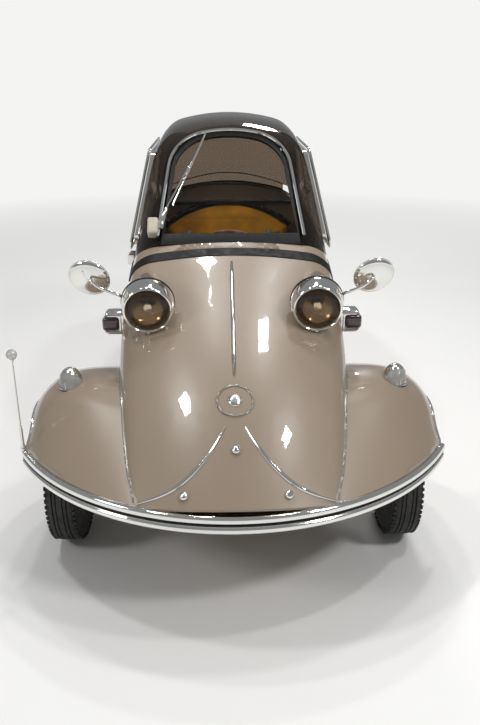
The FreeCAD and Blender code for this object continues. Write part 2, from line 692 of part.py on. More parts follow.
# Instrument panel under the cowl
cabin_room = hull(CABIN, wall + S["seat_gap"])
nose_room = hull(NOSE, wall + S["seat_gap"])
dash_y = S["dash_y"]
panel = box(-400, 400, dash_y, dash_y + S["dash_depth"], S["dash_low"], 1000).common(nose_room)
feature("dash_panel", panel.cut(region(-1, 0, -40, S["corner_radius"])))
pod = Part.makeCylinder(52, 30, Vector(0, dash_y + S["dash_depth"] + S["seat_gap"], S["dash_low"] + 70), Y)
feature("instrument_pod", pod)

# Seats
seat_z = S["seat_height"]
half_seat = S["seat_width"] / 2
front_y = S["front_seat_y"]
front_end = front_y + S["front_seat_length"]
frame_end = front_end + 21
floor_z = 190 + S["shell_wall"]
legs = []
for x in (-half_seat + 30, half_seat - 30):
    for y in (front_y + 40, front_end - 40):
        legs.append(rod(Vector(x, y, floor_z - 20), Vector(x, y, seat_z - 10), 11))
    legs.append(rod(Vector(x, front_y + 10, seat_z - 12), Vector(x, frame_end, seat_z - 12), 11))
    legs.append(rod(Vector(x, frame_end, seat_z - 12), Vector(x, frame_end + 80, seat_z + 380), 11))
for y in (front_y + 10, frame_end):
    legs.append(rod(Vector(-half_seat + 30, y, seat_z - 12), Vector(half_seat - 30, y, seat_z - 12), 11))
feature("front_seat_frame", fused(legs).common(cabin_room))


def cushion(x0, x1, y0, y1, z0, z1, radius):
    block = box(x0, x1, y0, y1, z0, z1)
    return block.makeFillet(radius, block.Edges)


def round_back(half, depth, height, crown, radius):
    """Seat back with an arched top: straight sides up to the arch, then an arc through the crown."""
    side_top = Vector(half, 0, height - crown)
    edges = [Part.makeLine(Vector(-half, 0, 0), Vector(half, 0, 0)), Part.makeLine(Vector(half, 0, 0), side_top),
             Part.Arc(side_top, Vector(0, 0, height), Vector(-half, 0, height - crown)).toShape(),
             Part.makeLine(Vector(-half, 0, height - crown), Vector(-half, 0, 0))]
    block = Part.Face(Part.Wire(edges)).extrude(Y * depth)
    return block.makeFillet(radius, block.Edges)


back_y = front_end + 16 - S["back_depth"]
feature("front_seat_cushion", cushion(-half_seat, half_seat, front_y, back_y - S["seat_gap"], seat_z - 0.7,
                                      seat_z + S["cushion_depth"], 25))
back = round_back(half_seat, S["back_depth"], S["front_back_height"], 150, 25)
back.Placement = Placement(Vector(0, back_y, seat_z + 30), Rotation(X, -11.5))
feature("front_seat_back", back)
rear_y = S["rear_seat_y"]
rear_lean = 6
rear_back_depth = 70
rear_back_height = S["rear_back_height"]
lean = math.radians(rear_lean)
soft = 25
reach = (rear_back_depth - soft) * math.cos(lean) + (rear_back_height - soft) * math.sin(lean) + soft
rear_back_y = deck - wall - S["seat_gap"] - reach
bench = cushion(-half_seat, half_seat, rear_y, rear_back_y - S["seat_gap"], floor_z + 1, seat_z + 60, 25)
feature("rear_seat_cushion", bench.common(cabin_room))
rear_back = round_back(S["rear_back_width"] / 2, rear_back_depth, rear_back_height, 105, 25)
rear_back.Placement = Placement(Vector(0, rear_back_y, seat_z + 60), Rotation(X, -rear_lean))
feature("rear_seat_back", rear_back)
shelf = box(-400, 400, deck - 62, deck - wall, S["waist_z"] + 4, S["waist_z"] + 18)
feature("rear_shelf", shelf.common(cabin_room))

# Pedals and gear lever
pedals = [rod(Vector(-150, -870, 290), Vector(150, -870, 290), 9)]
for x in (-130, 130):
    pedals.append(box(x - 10, x + 10, -885, -855, 200, 290))
for x in (-100, 0, 100):
    pedals.append(rod(Vector(x, -870, 290), Vector(x, -935, 420), 7))
    pedals.append(box(x - 28, x + 28, -945, -930, 400, 460))
feature("pedals", fused(pedals).common(nose_room))
lever_foot = Vector(290, -260, 420)
feature("gear_lever", fused([rod(lever_foot, lever_foot + Vector(-20, -30, 190), 7),
                             Part.makeSphere(19, lever_foot + Vector(-20, -30, 195)),
                             rod(lever_foot, lever_foot + Vector(100, 0, 0), 9)]).common(cabin_room))

# Lamps, indicators and mirrors
lamp = Vector(S["headlamp_x"], S["headlamp_y"], S["headlamp_z"])
lamp_axis = Vector(-0.06, -1, -0.12).normalize()
lamp_r = S["headlamp_radius"]
lens_r = lamp_r - 13
lamp_back = lamp - lamp_axis * S["bezel_depth"]
fairing = Part.makeCone(lamp_r - 2, 24, 200, lamp_back - lamp_axis * seat, lamp_axis * -1)
feature("headlamp_fairings", both_sides(fairing.cut(body_outside)))
bezel = Part.makeCone(lamp_r, lamp_r - 7, S["bezel_depth"], lamp_back, lamp_axis)
bezel = bezel.cut(rod(lamp_back, lamp + lamp_axis, lens_r + seat))
feature("headlamp_shells", both_sides(bezel.cut(body_outside)))
lens = rod(lamp - lamp_axis * 16, lamp + lamp_axis * 4, lens_r)
feature("headlamp_lenses", both_sides(lens.cut(body_outside)))

wing_lamp = Vector(S["wing_lamp_x"], S["wing_lamp_y"], S["wing_lamp_z"])
bullet = fused([Part.makeSphere(S["wing_lamp_radius"], wing_lamp),
                Part.makeCylinder(S["wing_lamp_radius"] - 2, 40, wing_lamp - Z * 40)])
wing_outer = Part.makeLoft([wing_section(row, 0) for row in WING], True)
feature("wing_lamps", both_sides(bullet.cut(wing_outer)))

indicator = box(322, 392, -800, -745, 618, 693)
indicator = indicator.makeFillet(12, indicator.Edges)
feature("indicators", both_sides(indicator.cut(body_outside)))

# Mirror: a foot on the fairing's outer side, a bent stalk and a round dish whose glass faces the driver
mirror_foot = Vector(308, -826, 740)
stalk_root = Vector(320, -836, 758)
dish = Vector(421, -795, 801)
dish_axis = Vector(0.12, -0.92, -0.37).normalize()
mirror = fused([rod(mirror_foot, mirror_foot + X * 16, 23), rod(stalk_root - X * 8, stalk_root + X * 6, 6),
                rod(stalk_root, dish + dish_axis * 18, 5), Part.makeCylinder(60, 5, dish, dish_axis),
                Part.makeCone(60, 40, 12, dish + dish_axis * 5, dish_axis),
                Part.makeCone(40, 10, 6, dish + dish_axis * 17, dish_axis)])
mirror = mirror.cut(body_outside).cut(fairing)
feature("mirror_left", mirror)
feature("mirror_right", mirrored(mirror))

foot_point = Vector(-wing_edge, -1044, S["band_low"] + S["band_height"] + S["seat_gap"])
marker = fused([rod(foot_point, foot_point + Z * 280, 4), Part.makeSphere(15, foot_point + Z * 291),
                rod(foot_point, foot_point + Z * 16, 6)])
feature("marker_rod", marker.cut(mirrored(wing_outer)))

# Rear: frame rails, cross bar with the cover's hinge pin, fork, engine and silencer
rail_x = S["rail_x"]
rails = []
for side in (-1, 1):
    rails.append(rod(Vector(side * rail_x, deck + 0.3, S["hinge_z"]), Vector(side * rail_x, S["hinge_y"], S["hinge_z"]),
                     S["rail_radius"]))
rails.append(rod(Vector(-rail_x, S["hinge_y"], S["hinge_z"]), Vector(rail_x, S["hinge_y"], S["hinge_z"]), pin_radius))
rails.append(rod(Vector(-rail_x, 870, S["hinge_z"]), Vector(rail_x, 870, S["hinge_z"]), S["rail_radius"]))
feature("rear_frame", fused(rails))
fork = []
for side in (-1, 1):
    fork.append(rod(Vector(side * 70, 868, wheel_z), Vector(side * 70, rear_axle_y + 20, wheel_z), 14))
    fork.append(rod(Vector(side * 70, 880, wheel_z), Vector(side * 70, 870, S["hinge_z"] - S["rail_radius"] - 0.3), 11))
fork.append(rod(Vector(-92, rear_axle_y, wheel_z), Vector(92, rear_axle_y, wheel_z), S["axle_radius"]))
fork.append(rod(Vector(-70, 890, wheel_z), Vector(70, 890, wheel_z), 10))
feature("rear_fork", fused(fork))
feature("engine_block", box(-S["engine_width"] / 2, S["engine_width"] / 2, deck + 2, deck + 2 + S["engine_length"] - 20,
                            S["hinge_z"] + S["rail_radius"] + 0.3, S["hinge_z"] + S["engine_height"]))
can = [rod(Vector(170, deck + 30, 290), Vector(170, deck + 330, 290), 42)]
for y in (deck + 80, deck + 280):
    can.append(box(rail_x, 150, y - 10, y + 10, S["hinge_z"] - 8, S["hinge_z"] - 2))
rail_bar = rod(Vector(rail_x, deck, S["hinge_z"]), Vector(rail_x, S["hinge_y"], S["hinge_z"]), S["rail_radius"])
feature("silencer", fused(can).cut(rail_bar))

lamp_z = 470
tail_lamp = Part.makeCylinder(32, 40, Vector(150, 1245, lamp_z), Y)
feature("tail_lamps", both_sides(tail_lamp.cut(cover_outside)))
padded("number_plate", "XZ_Plane", (
    ("-size.plate_number_width / 2", "-50"), ("size.plate_number_width / 2", "-50"),
    ("size.plate_number_width / 2", "50"), ("-size.plate_number_width / 2", "50"),
), "3", Placement(Vector(0, tail + S["seat_gap"] + 1.5, 360), Rotation()))

# Wiper on the screen's plane: (across, along, out) of the foot, elbow, blade middle, blade foot and tip
WIPER = {"foot": (-223, 41, 2), "elbow": (-208, 99, 12), "middle": (-135, 258, 10), "heel": (-186, 117, 7),
         "tip": (-80, 388, 7)}
spots = {name: screen_base + X * across + screen_up * along + screen_out * out
         for name, (across, along, out) in WIPER.items()}
motor = Part.makeBox(34, 58, 40)
motor = motor.makeFillet(5, motor.Edges)
motor.Placement = Placement(screen_base - X * 266 + screen_up * 8 - screen_out * 16, Rotation(X, S["screen_slope"]))
motor = motor.cut(dome_outside)
wiper = fused([motor, rod(spots["foot"], spots["foot"] + screen_out * 14, 9), rod(spots["foot"] + screen_out * 9,
               spots["elbow"], 4), rod(spots["elbow"], spots["middle"], 3.5), rod(spots["heel"], spots["tip"], 3)])
feature("wiper", wiper)

doc.recompute()

# Check and write
os.makedirs("parts", exist_ok=True)
for found in doc.Objects:
    if "Invalid" in found.State or "Error" in found.State:
        raise RuntimeError("%s did not compute" % found.Label)
for piece in nodes:
    if piece.Shape.isNull() or not piece.Shape.isValid():
        raise RuntimeError("%s has no sound shape" % piece.Label)
    piece.Shape.exportStep("parts/%s.step" % piece.Label)
    room = piece.Shape.BoundBox
    print("%-20s %2d solids  x %6.0f %6.0f  y %6.0f %6.0f  z %6.0f %6.0f" % (
        piece.Label, len(piece.Shape.Solids), room.XMin, room.XMax, room.YMin, room.YMax, room.ZMin, room.ZMax))
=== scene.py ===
"""Bubble car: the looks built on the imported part, one operator for each group of pieces."""
import bmesh
import bpy
import math
from bpy.props import FloatProperty, FloatVectorProperty, IntProperty, PointerProperty
from mathutils import Matrix, Vector
from mathutils.bvhtree import BVHTree


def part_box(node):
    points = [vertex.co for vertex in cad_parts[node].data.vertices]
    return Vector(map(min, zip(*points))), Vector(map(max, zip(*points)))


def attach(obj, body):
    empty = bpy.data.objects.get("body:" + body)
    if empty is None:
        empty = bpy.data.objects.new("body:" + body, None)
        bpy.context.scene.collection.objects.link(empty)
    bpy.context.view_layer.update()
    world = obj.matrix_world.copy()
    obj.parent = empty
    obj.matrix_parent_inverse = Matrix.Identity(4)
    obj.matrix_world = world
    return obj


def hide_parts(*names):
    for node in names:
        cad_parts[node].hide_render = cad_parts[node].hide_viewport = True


bl_info = {
    "name": "Bubble car looks",
    "version": (1, 0, 0),
    "blender": (4, 5, 0),
    "location": "View3D > Sidebar > Bubble Car",
    "description": "Builds the visible pieces and finishes of a three-wheeled bubble car",
    "category": "Object",
}

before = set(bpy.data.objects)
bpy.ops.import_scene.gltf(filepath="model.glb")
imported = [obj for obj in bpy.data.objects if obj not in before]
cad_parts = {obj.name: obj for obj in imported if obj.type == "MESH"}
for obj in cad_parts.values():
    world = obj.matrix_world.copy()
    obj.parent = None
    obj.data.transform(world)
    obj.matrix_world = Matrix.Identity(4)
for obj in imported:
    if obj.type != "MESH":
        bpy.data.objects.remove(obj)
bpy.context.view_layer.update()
X = Vector((1, 0, 0))
Y = Vector((0, 1, 0))
Z = Vector((0, 0, 1))
FINISHES = {}
# Vertices of a solid closer than this are one
WELD = 2e-5
# Height in metres from which rays drop on the body
ABOVE = 1.2
# Profiles start this far from the axis, in millimetres, so that a pole closes
POLE = 0.01


def mm(*values):
    """A point given in millimetres, as metres."""
    return Vector(values) / 1000


# Sizes and colours

def length(name, description, default):
    return FloatProperty(name=name, description=description, default=default, unit="LENGTH",
                         subtype="DISTANCE")


def colour(name, description, default):
    return FloatVectorProperty(name=name, description=description, default=default,
                               subtype="COLOR", size=3, min=0, max=1)


class CarColours(bpy.types.PropertyGroup):
    """Base colours of the main finishes"""
    paint: colour("Paint", "Warm grey of the body", (0.262, 0.20, 0.143))
    chrome: colour("Chrome", "Bright plating", (0.80, 0.79, 0.76))
    smoke: colour("Smoke", "Tint of the dome", (0.15, 0.112, 0.085))
    maroon: colour("Maroon", "Front seat and cushions", (0.16, 0.02, 0.028))
    amber: colour("Amber", "Back of the rear seat", (0.80, 0.36, 0.018))


class CarTrim(bpy.types.PropertyGroup):
    """Sizes of beads, strips and studs"""
    bead: length("Bead", "Radius of the bead in the wing seams", 0.0032)
    lip: length("Arch lip", "Radius of the bright lip round the wheel arches", 0.0045)
    strip: length("Strip", "Half width of the strips on the nose", 0.0065)
    crest: length("Strip height", "Height of the strips on the nose", 0.0072)
    ring: length("Ring", "Outer radius of the ring on the nose", 0.050)
    stud: length("Stud", "Radius of the three studs on the nose", 0.0122)


class CarWheels(bpy.types.PropertyGroup):
    """Sizes of the tyres and rims"""
    groove: length("Groove", "Depth of the grooves in the tread", 0.005)
    lugs: IntProperty(name="Lugs", description="Blocks round each shoulder of a tyre", default=64,
                      min=12, max=120)
    nuts: IntProperty(name="Nuts", description="Wheel nuts of each wheel", default=5, min=3, max=8)


class CarSeats(bpy.types.PropertyGroup):
    """How the seats are filled"""
    voxel: length("Voxel", "Cell size of the padded shapes", 0.006)
    swell: length("Swell", "Furthest that a point of a cushion may move", 0.014)
    pressure: FloatProperty(name="Pressure", description="Air pressure inside a cushion",
                            default=4.0, min=0)
    piping: length("Piping", "Radius of the piping round the seats", 0.0042)


# Node trees

class Finish:
    """A material under construction: its principled shader and the nodes that feed it."""

    def __init__(self, name, slot, colour, rough, metal=0.0, **sockets):
        self.material = bpy.data.materials.new(name)
        self.material.use_nodes = True
        self.tree = self.material.node_tree
        self.shader = self.tree.nodes["Principled BSDF"]
        self.colour = tuple(colour)
        self.slot = slot
        self.put("Base Color", (*colour, 1))
        self.put("Roughness", rough)
        self.put("Metallic", metal)
        for key, value in sockets.items():
            self.put(key.replace("_", " "), value)
        FINISHES[name] = self
        self.place = self.node("ShaderNodeTexCoord").outputs["Object"]
        self.bumps = None

    def put(self, socket, value):
        self.shader.inputs[socket].default_value = value

    def node(self, kind, **values):
        made = self.tree.nodes.new(kind)
        for key, value in values.items():
            if hasattr(made, key):
                setattr(made, key, value)
            else:
                made.inputs[key.replace("_", " ")].default_value = value
        return made

    def link(self, source, target):
        self.tree.links.new(source, target)

    def spread(self, source, low, high, start=0.35, end=0.65):
        """Stretch a grey pattern between two levels."""
        spread = self.node("ShaderNodeMapRange", From_Min=start, From_Max=end, To_Min=low, To_Max=high)
        self.link(source, spread.inputs["Value"])
        return spread.outputs["Result"]

    def noise(self, scale, detail=4, stretch=None):
        pattern = self.node("ShaderNodeTexNoise", Scale=scale, Detail=detail)
        source = self.place
        if stretch:
            mapping = self.node("ShaderNodeMapping", Scale=stretch)
            self.link(source, mapping.inputs["Vector"])
            source = mapping.outputs["Vector"]
        self.link(source, pattern.inputs["Vector"])
        return pattern.outputs["Fac"]

    def waves(self, scale, direction, distortion=0.0):
        bands = self.node("ShaderNodeTexWave", wave_type="BANDS", bands_direction=direction, Scale=scale,
                          Distortion=distortion)
        self.link(self.place, bands.inputs["Vector"])
        return bands.outputs["Fac"]

    def cells(self, scale):
        cells = self.node("ShaderNodeTexVoronoi", Scale=scale)
        self.link(self.place, cells.inputs["Vector"])
        return cells.outputs["Distance"]

    def vary(self, darker, lighter, *settings):
        """Colour drifts between darker and lighter shares of itself along a noise."""
        mix = self.node("ShaderNodeMix", data_type="RGBA")
        mix.inputs[6].default_value = (*[c * darker for c in self.colour], 1)
        mix.inputs[7].default_value = (*[min(1, c * lighter) for c in self.colour], 1)
        self.link(self.spread(self.noise(*settings), 0, 1), mix.inputs[0])
        self.link(mix.outputs[2], self.shader.inputs["Base Color"])
        return self

    def wear(self, low, high, *settings):
        """Roughness drifts between two levels along a noise."""
        self.link(self.spread(self.noise(*settings), low, high), self.shader.inputs["Roughness"])
        return self

    def bump(self, height, strength, *settings, kind="noise"):
        """Relief in metres from a pattern; more than one adds up."""
        relief = self.node("ShaderNodeBump", Strength=strength, Distance=height)
        self.link(getattr(self, kind)(*settings), relief.inputs["Height"])
        if self.bumps:
            self.link(self.bumps, relief.inputs["Normal"])
        self.bumps = relief.outputs["Normal"]
        self.link(self.bumps, self.shader.inputs["Normal"])
        return self


def make_finishes(shades):
    """All the materials of the car, each with the record's slot that it stands in for."""
    clear = {"Transmission_Weight": 1.0}
    coat = {"Coat_Weight": 1.0}
    Finish("body_paint", "paint", shades.paint, 0.32, **coat, Coat_Roughness=0.03).vary(
        0.96, 1.03, 2.2, 3).bump(0.00002, 0.25, 700, 2)
    Finish("chrome_plate", "chrome", shades.chrome, 0.06, 1.0).wear(0.04, 0.12, 40, 6).bump(
        0.00003, 0.15, 160, 3)
    Finish("worn_chrome", "chrome", [c * 0.9 for c in shades.chrome], 0.15, 1.0).wear(
        0.08, 0.32, 90, 8).bump(0.00004, 0.3, 400, 4)
    Finish("chassis_paint", "paint_dark", (0.018, 0.018, 0.019), 0.38).wear(0.28, 0.6, 30, 6).bump(
        0.00015, 0.5, 260, 5)
    Finish("bare_steel", "steel", (0.42, 0.42, 0.43), 0.35, 1.0).wear(0.25, 0.5, 60, 6, (1, 8, 1)).vary(
        0.75, 1.0, 25, 5)
    Finish("cast_alloy", "cast", (0.33, 0.33, 0.33), 0.55, 0.9).vary(0.6, 1.0, 18, 5).bump(
        0.0004, 0.6, 420, 5)
    Finish("seal_rubber", "rubber", (0.010, 0.010, 0.010), 0.5, Specular_IOR_Level=0.22).wear(
        0.4, 0.68, 50, 5).bump(0.0001, 0.4, 600, 3)
    Finish("tyre_rubber", "tyre", (0.022, 0.021, 0.02), 0.7).vary(0.7, 1.5, 14, 6).wear(
        0.6, 0.85, 70, 5).bump(0.0002, 0.4, 900, 4)
    Finish("wheel_paint", "rim_paint", (0.5, 0.46, 0.38), 0.3, Coat_Weight=0.6, Coat_Roughness=0.08).vary(
        0.88, 1.0, 12, 5).wear(0.25, 0.42, 80, 5)
    Finish("smoked_dome", "smoke_glass", shades.smoke, 0.03, **clear, IOR=1.12, Coat_Weight=0.6,
           Coat_Roughness=0.03).bump(0.0006, 0.35, 3.5, 2)
    Finish("screen_glass", "clear_glass", (0.93, 0.95, 0.93), 0.01, **clear, IOR=1.12).bump(0.0001, 0.1, 2, 2)
    Finish("lamp_glass", "lamp_glass", (0.86, 0.78, 0.66), 0.03, **clear, IOR=1.3).bump(
        0.0008, 0.35, 28, "X", 0.4, kind="waves")
    # The reflector's dark brown colour is painted reflection: a dark room seen in the bowl, painted into the
    # plating's own colour
    Finish("reflector_painted_reflection", "chrome", (0.20, 0.15, 0.10), 0.16, 1.0).wear(0.1, 0.24, 30, 4).vary(
        0.7, 1.1, 12, 3)
    Finish("lamp_bulb", "lamp_glass", (0.95, 0.85, 0.6), 0.05, Transmission_Weight=0.8, IOR=1.4).vary(
        0.85, 1.0, 60, 2)
    Finish("red_lens", "red_lens", (0.42, 0.012, 0.012), 0.12, Transmission_Weight=0.4, IOR=1.45).bump(
        0.0008, 0.5, 180, kind="cells")
    Finish("marker_lens", "lamp_glass", (0.6, 0.6, 0.58), 0.12, Transmission_Weight=0.6, IOR=1.4).bump(
        0.0006, 0.5, 60, "Z", kind="waves")
    for name, slot, tint in (
            ("maroon_leather", "maroon_trim", shades.maroon), ("amber_leather", "amber_trim", shades.amber),
            ("piping_leather", "white_plate", (0.62, 0.52, 0.38)),
            ("black_leather", "black_plastic", (0.02, 0.019, 0.018))):
        Finish(name, slot, tint, 0.42, Sheen_Weight=0.1).vary(0.72, 1.12, 9, 6).wear(0.34, 0.58, 45, 5).bump(
            0.0004, 0.5, 420, kind="cells").bump(0.0015, 0.35, 22, 4)
    Finish("floor_mat", "black_plastic", (0.03, 0.028, 0.026), 0.95, Sheen_Weight=0.4).vary(
        0.5, 1.6, 300, 6).bump(0.002, 0.8, 900, 4)
    Finish("black_moulding", "black_plastic", (0.016, 0.016, 0.016), 0.4).wear(0.32, 0.5, 70, 4).bump(
        0.0001, 0.3, 800, 3)
    Finish("dial_face", "black_plastic", (0.02, 0.02, 0.022), 0.3, **coat).vary(0.8, 1.2, 60, 3)
    Finish("dial_marks", "white_plate", (0.75, 0.73, 0.62), 0.5).vary(0.85, 1.0, 80, 3)
    Finish("blank_plate", "white_plate", (0.72, 0.72, 0.69), 0.25, Coat_Weight=0.6).vary(
        0.9, 1.02, 20, 5).wear(0.2, 0.4, 90, 4)
    Finish("dark_lens", "black_plastic", (0.022, 0.006, 0.009), 0.07, **coat).bump(
        0.0006, 0.5, 90, "X", kind="waves").vary(0.8, 1.3, 50, 3)
    Finish("mirror_glass", "chrome", (0.9, 0.91, 0.92), 0.02, 1.0).wear(0.015, 0.04, 20, 2)
    Finish("motor_case", "paint", (0.5, 0.46, 0.37), 0.35).vary(0.85, 1.05, 30, 5).wear(0.28, 0.5, 90, 4)
    Finish("exhaust_steel", "steel", (0.3, 0.25, 0.2), 0.55, 0.9).vary(0.4, 1.2, 14, 8).wear(
        0.35, 0.75, 40, 6)


# Making meshes

def everything(bm):
    return bm.verts[:] + bm.edges[:] + bm.faces[:]


def bevelled(bm, edges, width, segments=1):
    bmesh.ops.bevel(bm, geom=edges, offset=width, offset_type="OFFSET", affect="EDGES", segments=segments,
                    profile=0.5, material=-1, clamp_overlap=True)


def closed(bm):
    bmesh.ops.remove_doubles(bm, verts=bm.verts, dist=1e-6)
    bmesh.ops.recalc_face_normals(bm, faces=bm.faces)


def both_sides(bm):
    """Add the mirror image across the car's middle."""
    bmesh.ops.mirror(bm, geom=everything(bm), matrix=Matrix(), merge_dist=-1, axis="X")
    closed(bm)


def from_cad(node):
    """A new bmesh with the welded faces of a CAD node."""
    bm = bmesh.new()
    bm.from_mesh(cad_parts[node].data)
    bmesh.ops.remove_doubles(bm, verts=bm.verts, dist=WELD)
    return bm


def piece(name, bm, finish, body="body", stands_for=(), smooth=32):
    """Turn a bmesh into an object that rides on a CAD body."""
    mesh = bpy.data.meshes.new(name)
    bm.to_mesh(mesh)
    bm.free()
    mesh.shade_smooth()
    mesh.set_sharp_from_angle(angle=math.radians(smooth))
    mesh.materials.append(FINISHES[finish].material)
    made = bpy.data.objects.new(name, mesh)
    bpy.context.scene.collection.objects.link(made)
    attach(made, body)
    if stands_for:
        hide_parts(*stands_for)
    return made


def swept(bm, section, stations):
    """Skin a cross-section along stations of place, across and up, with both ends closed."""
    rings = []
    for place, across, up in stations:
        verts = [bm.verts.new(place + across * a + up * b) for a, b in section]
        rings.append([bm.edges.new(pair) for pair in zip(verts, verts[1:] + verts[:1])])
    for one, two in zip(rings, rings[1:]):
        bmesh.ops.bridge_loops(bm, edges=one + two)
    for end in (rings[0], rings[-1]):
        bmesh.ops.edgeloop_fill(bm, edges=end)


def poured(bm, other, place):
    """Add another bmesh to this one, moved to its place."""
    other.transform(place)
    mesh = bpy.data.meshes.new("poured")
    other.to_mesh(mesh)
    other.free()
    bm.from_mesh(mesh)
    bpy.data.meshes.remove(mesh)


def spun(bm, profile, place, steps=64, whole=False, sweep=math.tau):
    """Lathe a profile of (radius, along) in millimetres about the place's own Z axis."""
    part = bmesh.new()
    verts = [part.verts.new((radius / 1000, 0, along / 1000)) for radius, along in profile]
    pairs = list(zip(verts, verts[1:]))
    if whole:
        pairs.append((verts[-1], verts[0]))
    edges = [part.edges.new(pair) for pair in pairs]
    bmesh.ops.spin(part, geom=verts + edges, cent=(0, 0, 0), axis=Z, angle=sweep, steps=steps,
                   use_merge=sweep == math.tau, use_duplicate=False)
    if sweep != math.tau:
        bmesh.ops.holes_fill(part, edges=part.edges[:], sides=0)
    closed(part)
    poured(bm, part, place)


def turned(name, finish, profiles, place, body="body", stands_for=(), smooth=32):
    """A lathed piece from profiles, each with its steps and whether it is a closed loop."""
    bm = bmesh.new()
    for profile, steps, whole in profiles:
        spun(bm, profile, place, steps, whole)
    return piece(name, bm, finish, body, stands_for, smooth)


def ball(bm, place, size, segments=24):
    """Ellipsoid with its radii in millimetres; place is a matrix."""
    part = bmesh.new()
    bmesh.ops.create_uvsphere(part, u_segments=segments, v_segments=segments // 2, radius=1)
    bmesh.ops.scale(part, vec=mm(*size), verts=part.verts)
    poured(bm, part, place)


def block(bm, low, high, bevel=0.0, place=None, segments=3):
    """Box between two corners in metres, with rounded edges."""
    part = bmesh.new()
    bmesh.ops.create_cube(part, size=1)
    size = Vector(high) - Vector(low)
    bmesh.ops.scale(part, vec=size, verts=part.verts)
    bmesh.ops.translate(part, vec=Vector(low) + size / 2, verts=part.verts)
    if bevel:
        bevelled(part, part.edges[:], bevel, segments)
    poured(bm, part, place or Matrix())


def aimed(place, along):
    """Matrix that stands local Z along a direction at a place."""
    return Matrix.Translation(place) @ along.normalized().to_track_quat("Z", "Y").to_matrix().to_4x4()


def moved(*values):
    """Matrix of a move in millimetres."""
    return Matrix.Translation(mm(*values))


def rolled(degrees, axis="Z"):
    return Matrix.Rotation(math.radians(degrees), 4, axis)


def facing(place, direction):
    """The place turned about its own Z axis until its X points along a direction."""
    local = place.to_3x3().inverted() @ direction
    return place @ Matrix.Rotation(math.atan2(local.y, local.x), 4, "Z")


def around(place, radius, count, along=0.0):
    """Matrices spaced evenly round a place's own Z axis, at a radius in millimetres."""
    return [place @ Matrix.Rotation(math.tau * step / count, 4, "Z") @ moved(radius, 0, along)
            for step in range(count)]


def bolts(bm, places, radius=6, height=4):
    """Hexagon heads on washers, at each place."""
    for place in places:
        spun(bm, ((POLE, -1), (radius * 1.35, -1), (radius * 1.35, 0.8), (radius * 1.1, 1.2), (POLE, 1.2)),
             place, 24)
        part = bmesh.new()
        bmesh.ops.create_cone(part, cap_ends=True, segments=6, radius1=radius / 1000, radius2=radius / 1000,
                              depth=height / 1000)
        bevelled(part, part.edges[:], 0.0005)
        poured(bm, part, place @ moved(0, 0, height / 2 + 1))


def nurbs_mesh(points, order, resolution, cyclic=False, radius=0.0, sides=16):
    """Mesh of a smooth curve through control points, as a line or a tube."""
    curve = bpy.data.curves.new("path", "CURVE")
    curve.dimensions = "3D"
    spline = curve.splines.new("NURBS")
    spline.points.add(len(points) - 1)
    for knot, point in zip(spline.points, points):
        knot.co = (*point, 1)
    spline.order_u = order
    spline.use_endpoint_u = not cyclic
    spline.use_cyclic_u = cyclic
    spline.resolution_u = resolution
    if radius:
        curve.bevel_depth = radius
        curve.bevel_resolution = max(1, sides // 4 - 1)
        curve.use_fill_caps = not cyclic
    made = bpy.data.objects.new("path", curve)
    bpy.context.scene.collection.objects.link(made)
    bpy.context.view_layer.update()
    mesh = bpy.data.meshes.new_from_object(made)
    bpy.data.objects.remove(made)
    bpy.data.curves.remove(curve)
    return mesh


def tube_bm(bm, points, radius, sides=16, cyclic=False, resolution=8):
    """Round bar or bead along a smooth path through the points."""
    mesh = nurbs_mesh(points, 3, resolution, cyclic, radius, sides)
    bm.from_mesh(mesh)
    bpy.data.meshes.remove(mesh)


def tube(name, finish, points, radius, sides=12, cyclic=False, resolution=8, body="body", mirrored=False):
    """A bar or bead as a piece of its own, on one side or on both."""
    bm = bmesh.new()
    tube_bm(bm, points, radius, sides, cyclic, resolution)
    if mirrored:
        both_sides(bm)
    piece(name, bm, finish, body)


def smooth_line(points, resolution=8):
    """Points along a smooth curve through the given control points."""
    mesh = nurbs_mesh(points, 4, resolution)
    line = [vert.co.copy() for vert in mesh.vertices]
    bpy.data.meshes.remove(mesh)
    return line


def arc_through(a, middle, b, steps):
    """Points on the circle through three points of a plane, from a to b."""
    ax, ay = a
    bx, by = middle
    cx, cy = b
    d = 2 * (ax * (by - cy) + bx * (cy - ay) + cx * (ay - by))
    sa, sb, sc = ax * ax + ay * ay, bx * bx + by * by, cx * cx + cy * cy
    ox = (sa * (by - cy) + sb * (cy - ay) + sc * (ay - by)) / d
    oy = (sa * (cx - bx) + sb * (ax - cx) + sc * (bx - ax)) / d
    radius = math.hypot(ax - ox, ay - oy)
    start = math.atan2(ay - oy, ax - ox)
    sweep = (math.atan2(cy - oy, cx - ox) - start + math.pi) % math.tau - math.pi
    turns = [start + sweep * step / steps for step in range(steps + 1)]
    return [(ox + radius * math.cos(turn), oy + radius * math.sin(turn)) for turn in turns]


def rounded_path(corners, radius, steps=6):
    """Closed path through the corners of a plane polygon, each rounded."""
    path = []
    count = len(corners)
    for i in range(count):
        here = Vector(corners[i])
        following = Vector(corners[(i + 1) % count])
        before = (Vector(corners[i - 1]) - here).normalized()
        after = (following - here).normalized()
        reach = radius / math.tan(before.angle(after) / 2)
        start = here + before * reach
        end = here + after * reach
        for step in range(steps + 1):
            t = step / steps
            path.append(start * (1 - t) ** 2 + here * 2 * t * (1 - t) + end * t ** 2)
        for share in (0.25, 0.5, 0.75):
            path.append(end.lerp(following - after * reach, share))
    return path


def spaced_out(points, least):
    """The points of a line, without those closer than the least distance to the one kept before."""
    kept = []
    for spot in points:
        if not kept or (spot - kept[-1]).length > least:
            kept.append(spot)
    return kept


def target(node):
    """What rays meet: the faces of a CAD node."""
    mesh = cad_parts[node].data
    return BVHTree.FromPolygons([vert.co.copy() for vert in mesh.vertices],
                                [list(face.vertices) for face in mesh.polygons])


def under(tree, x, y, height=ABOVE):
    """Where a ray straight down meets the surface, or None."""
    return tree.ray_cast(Vector((x, y, height)), -Z)[0]


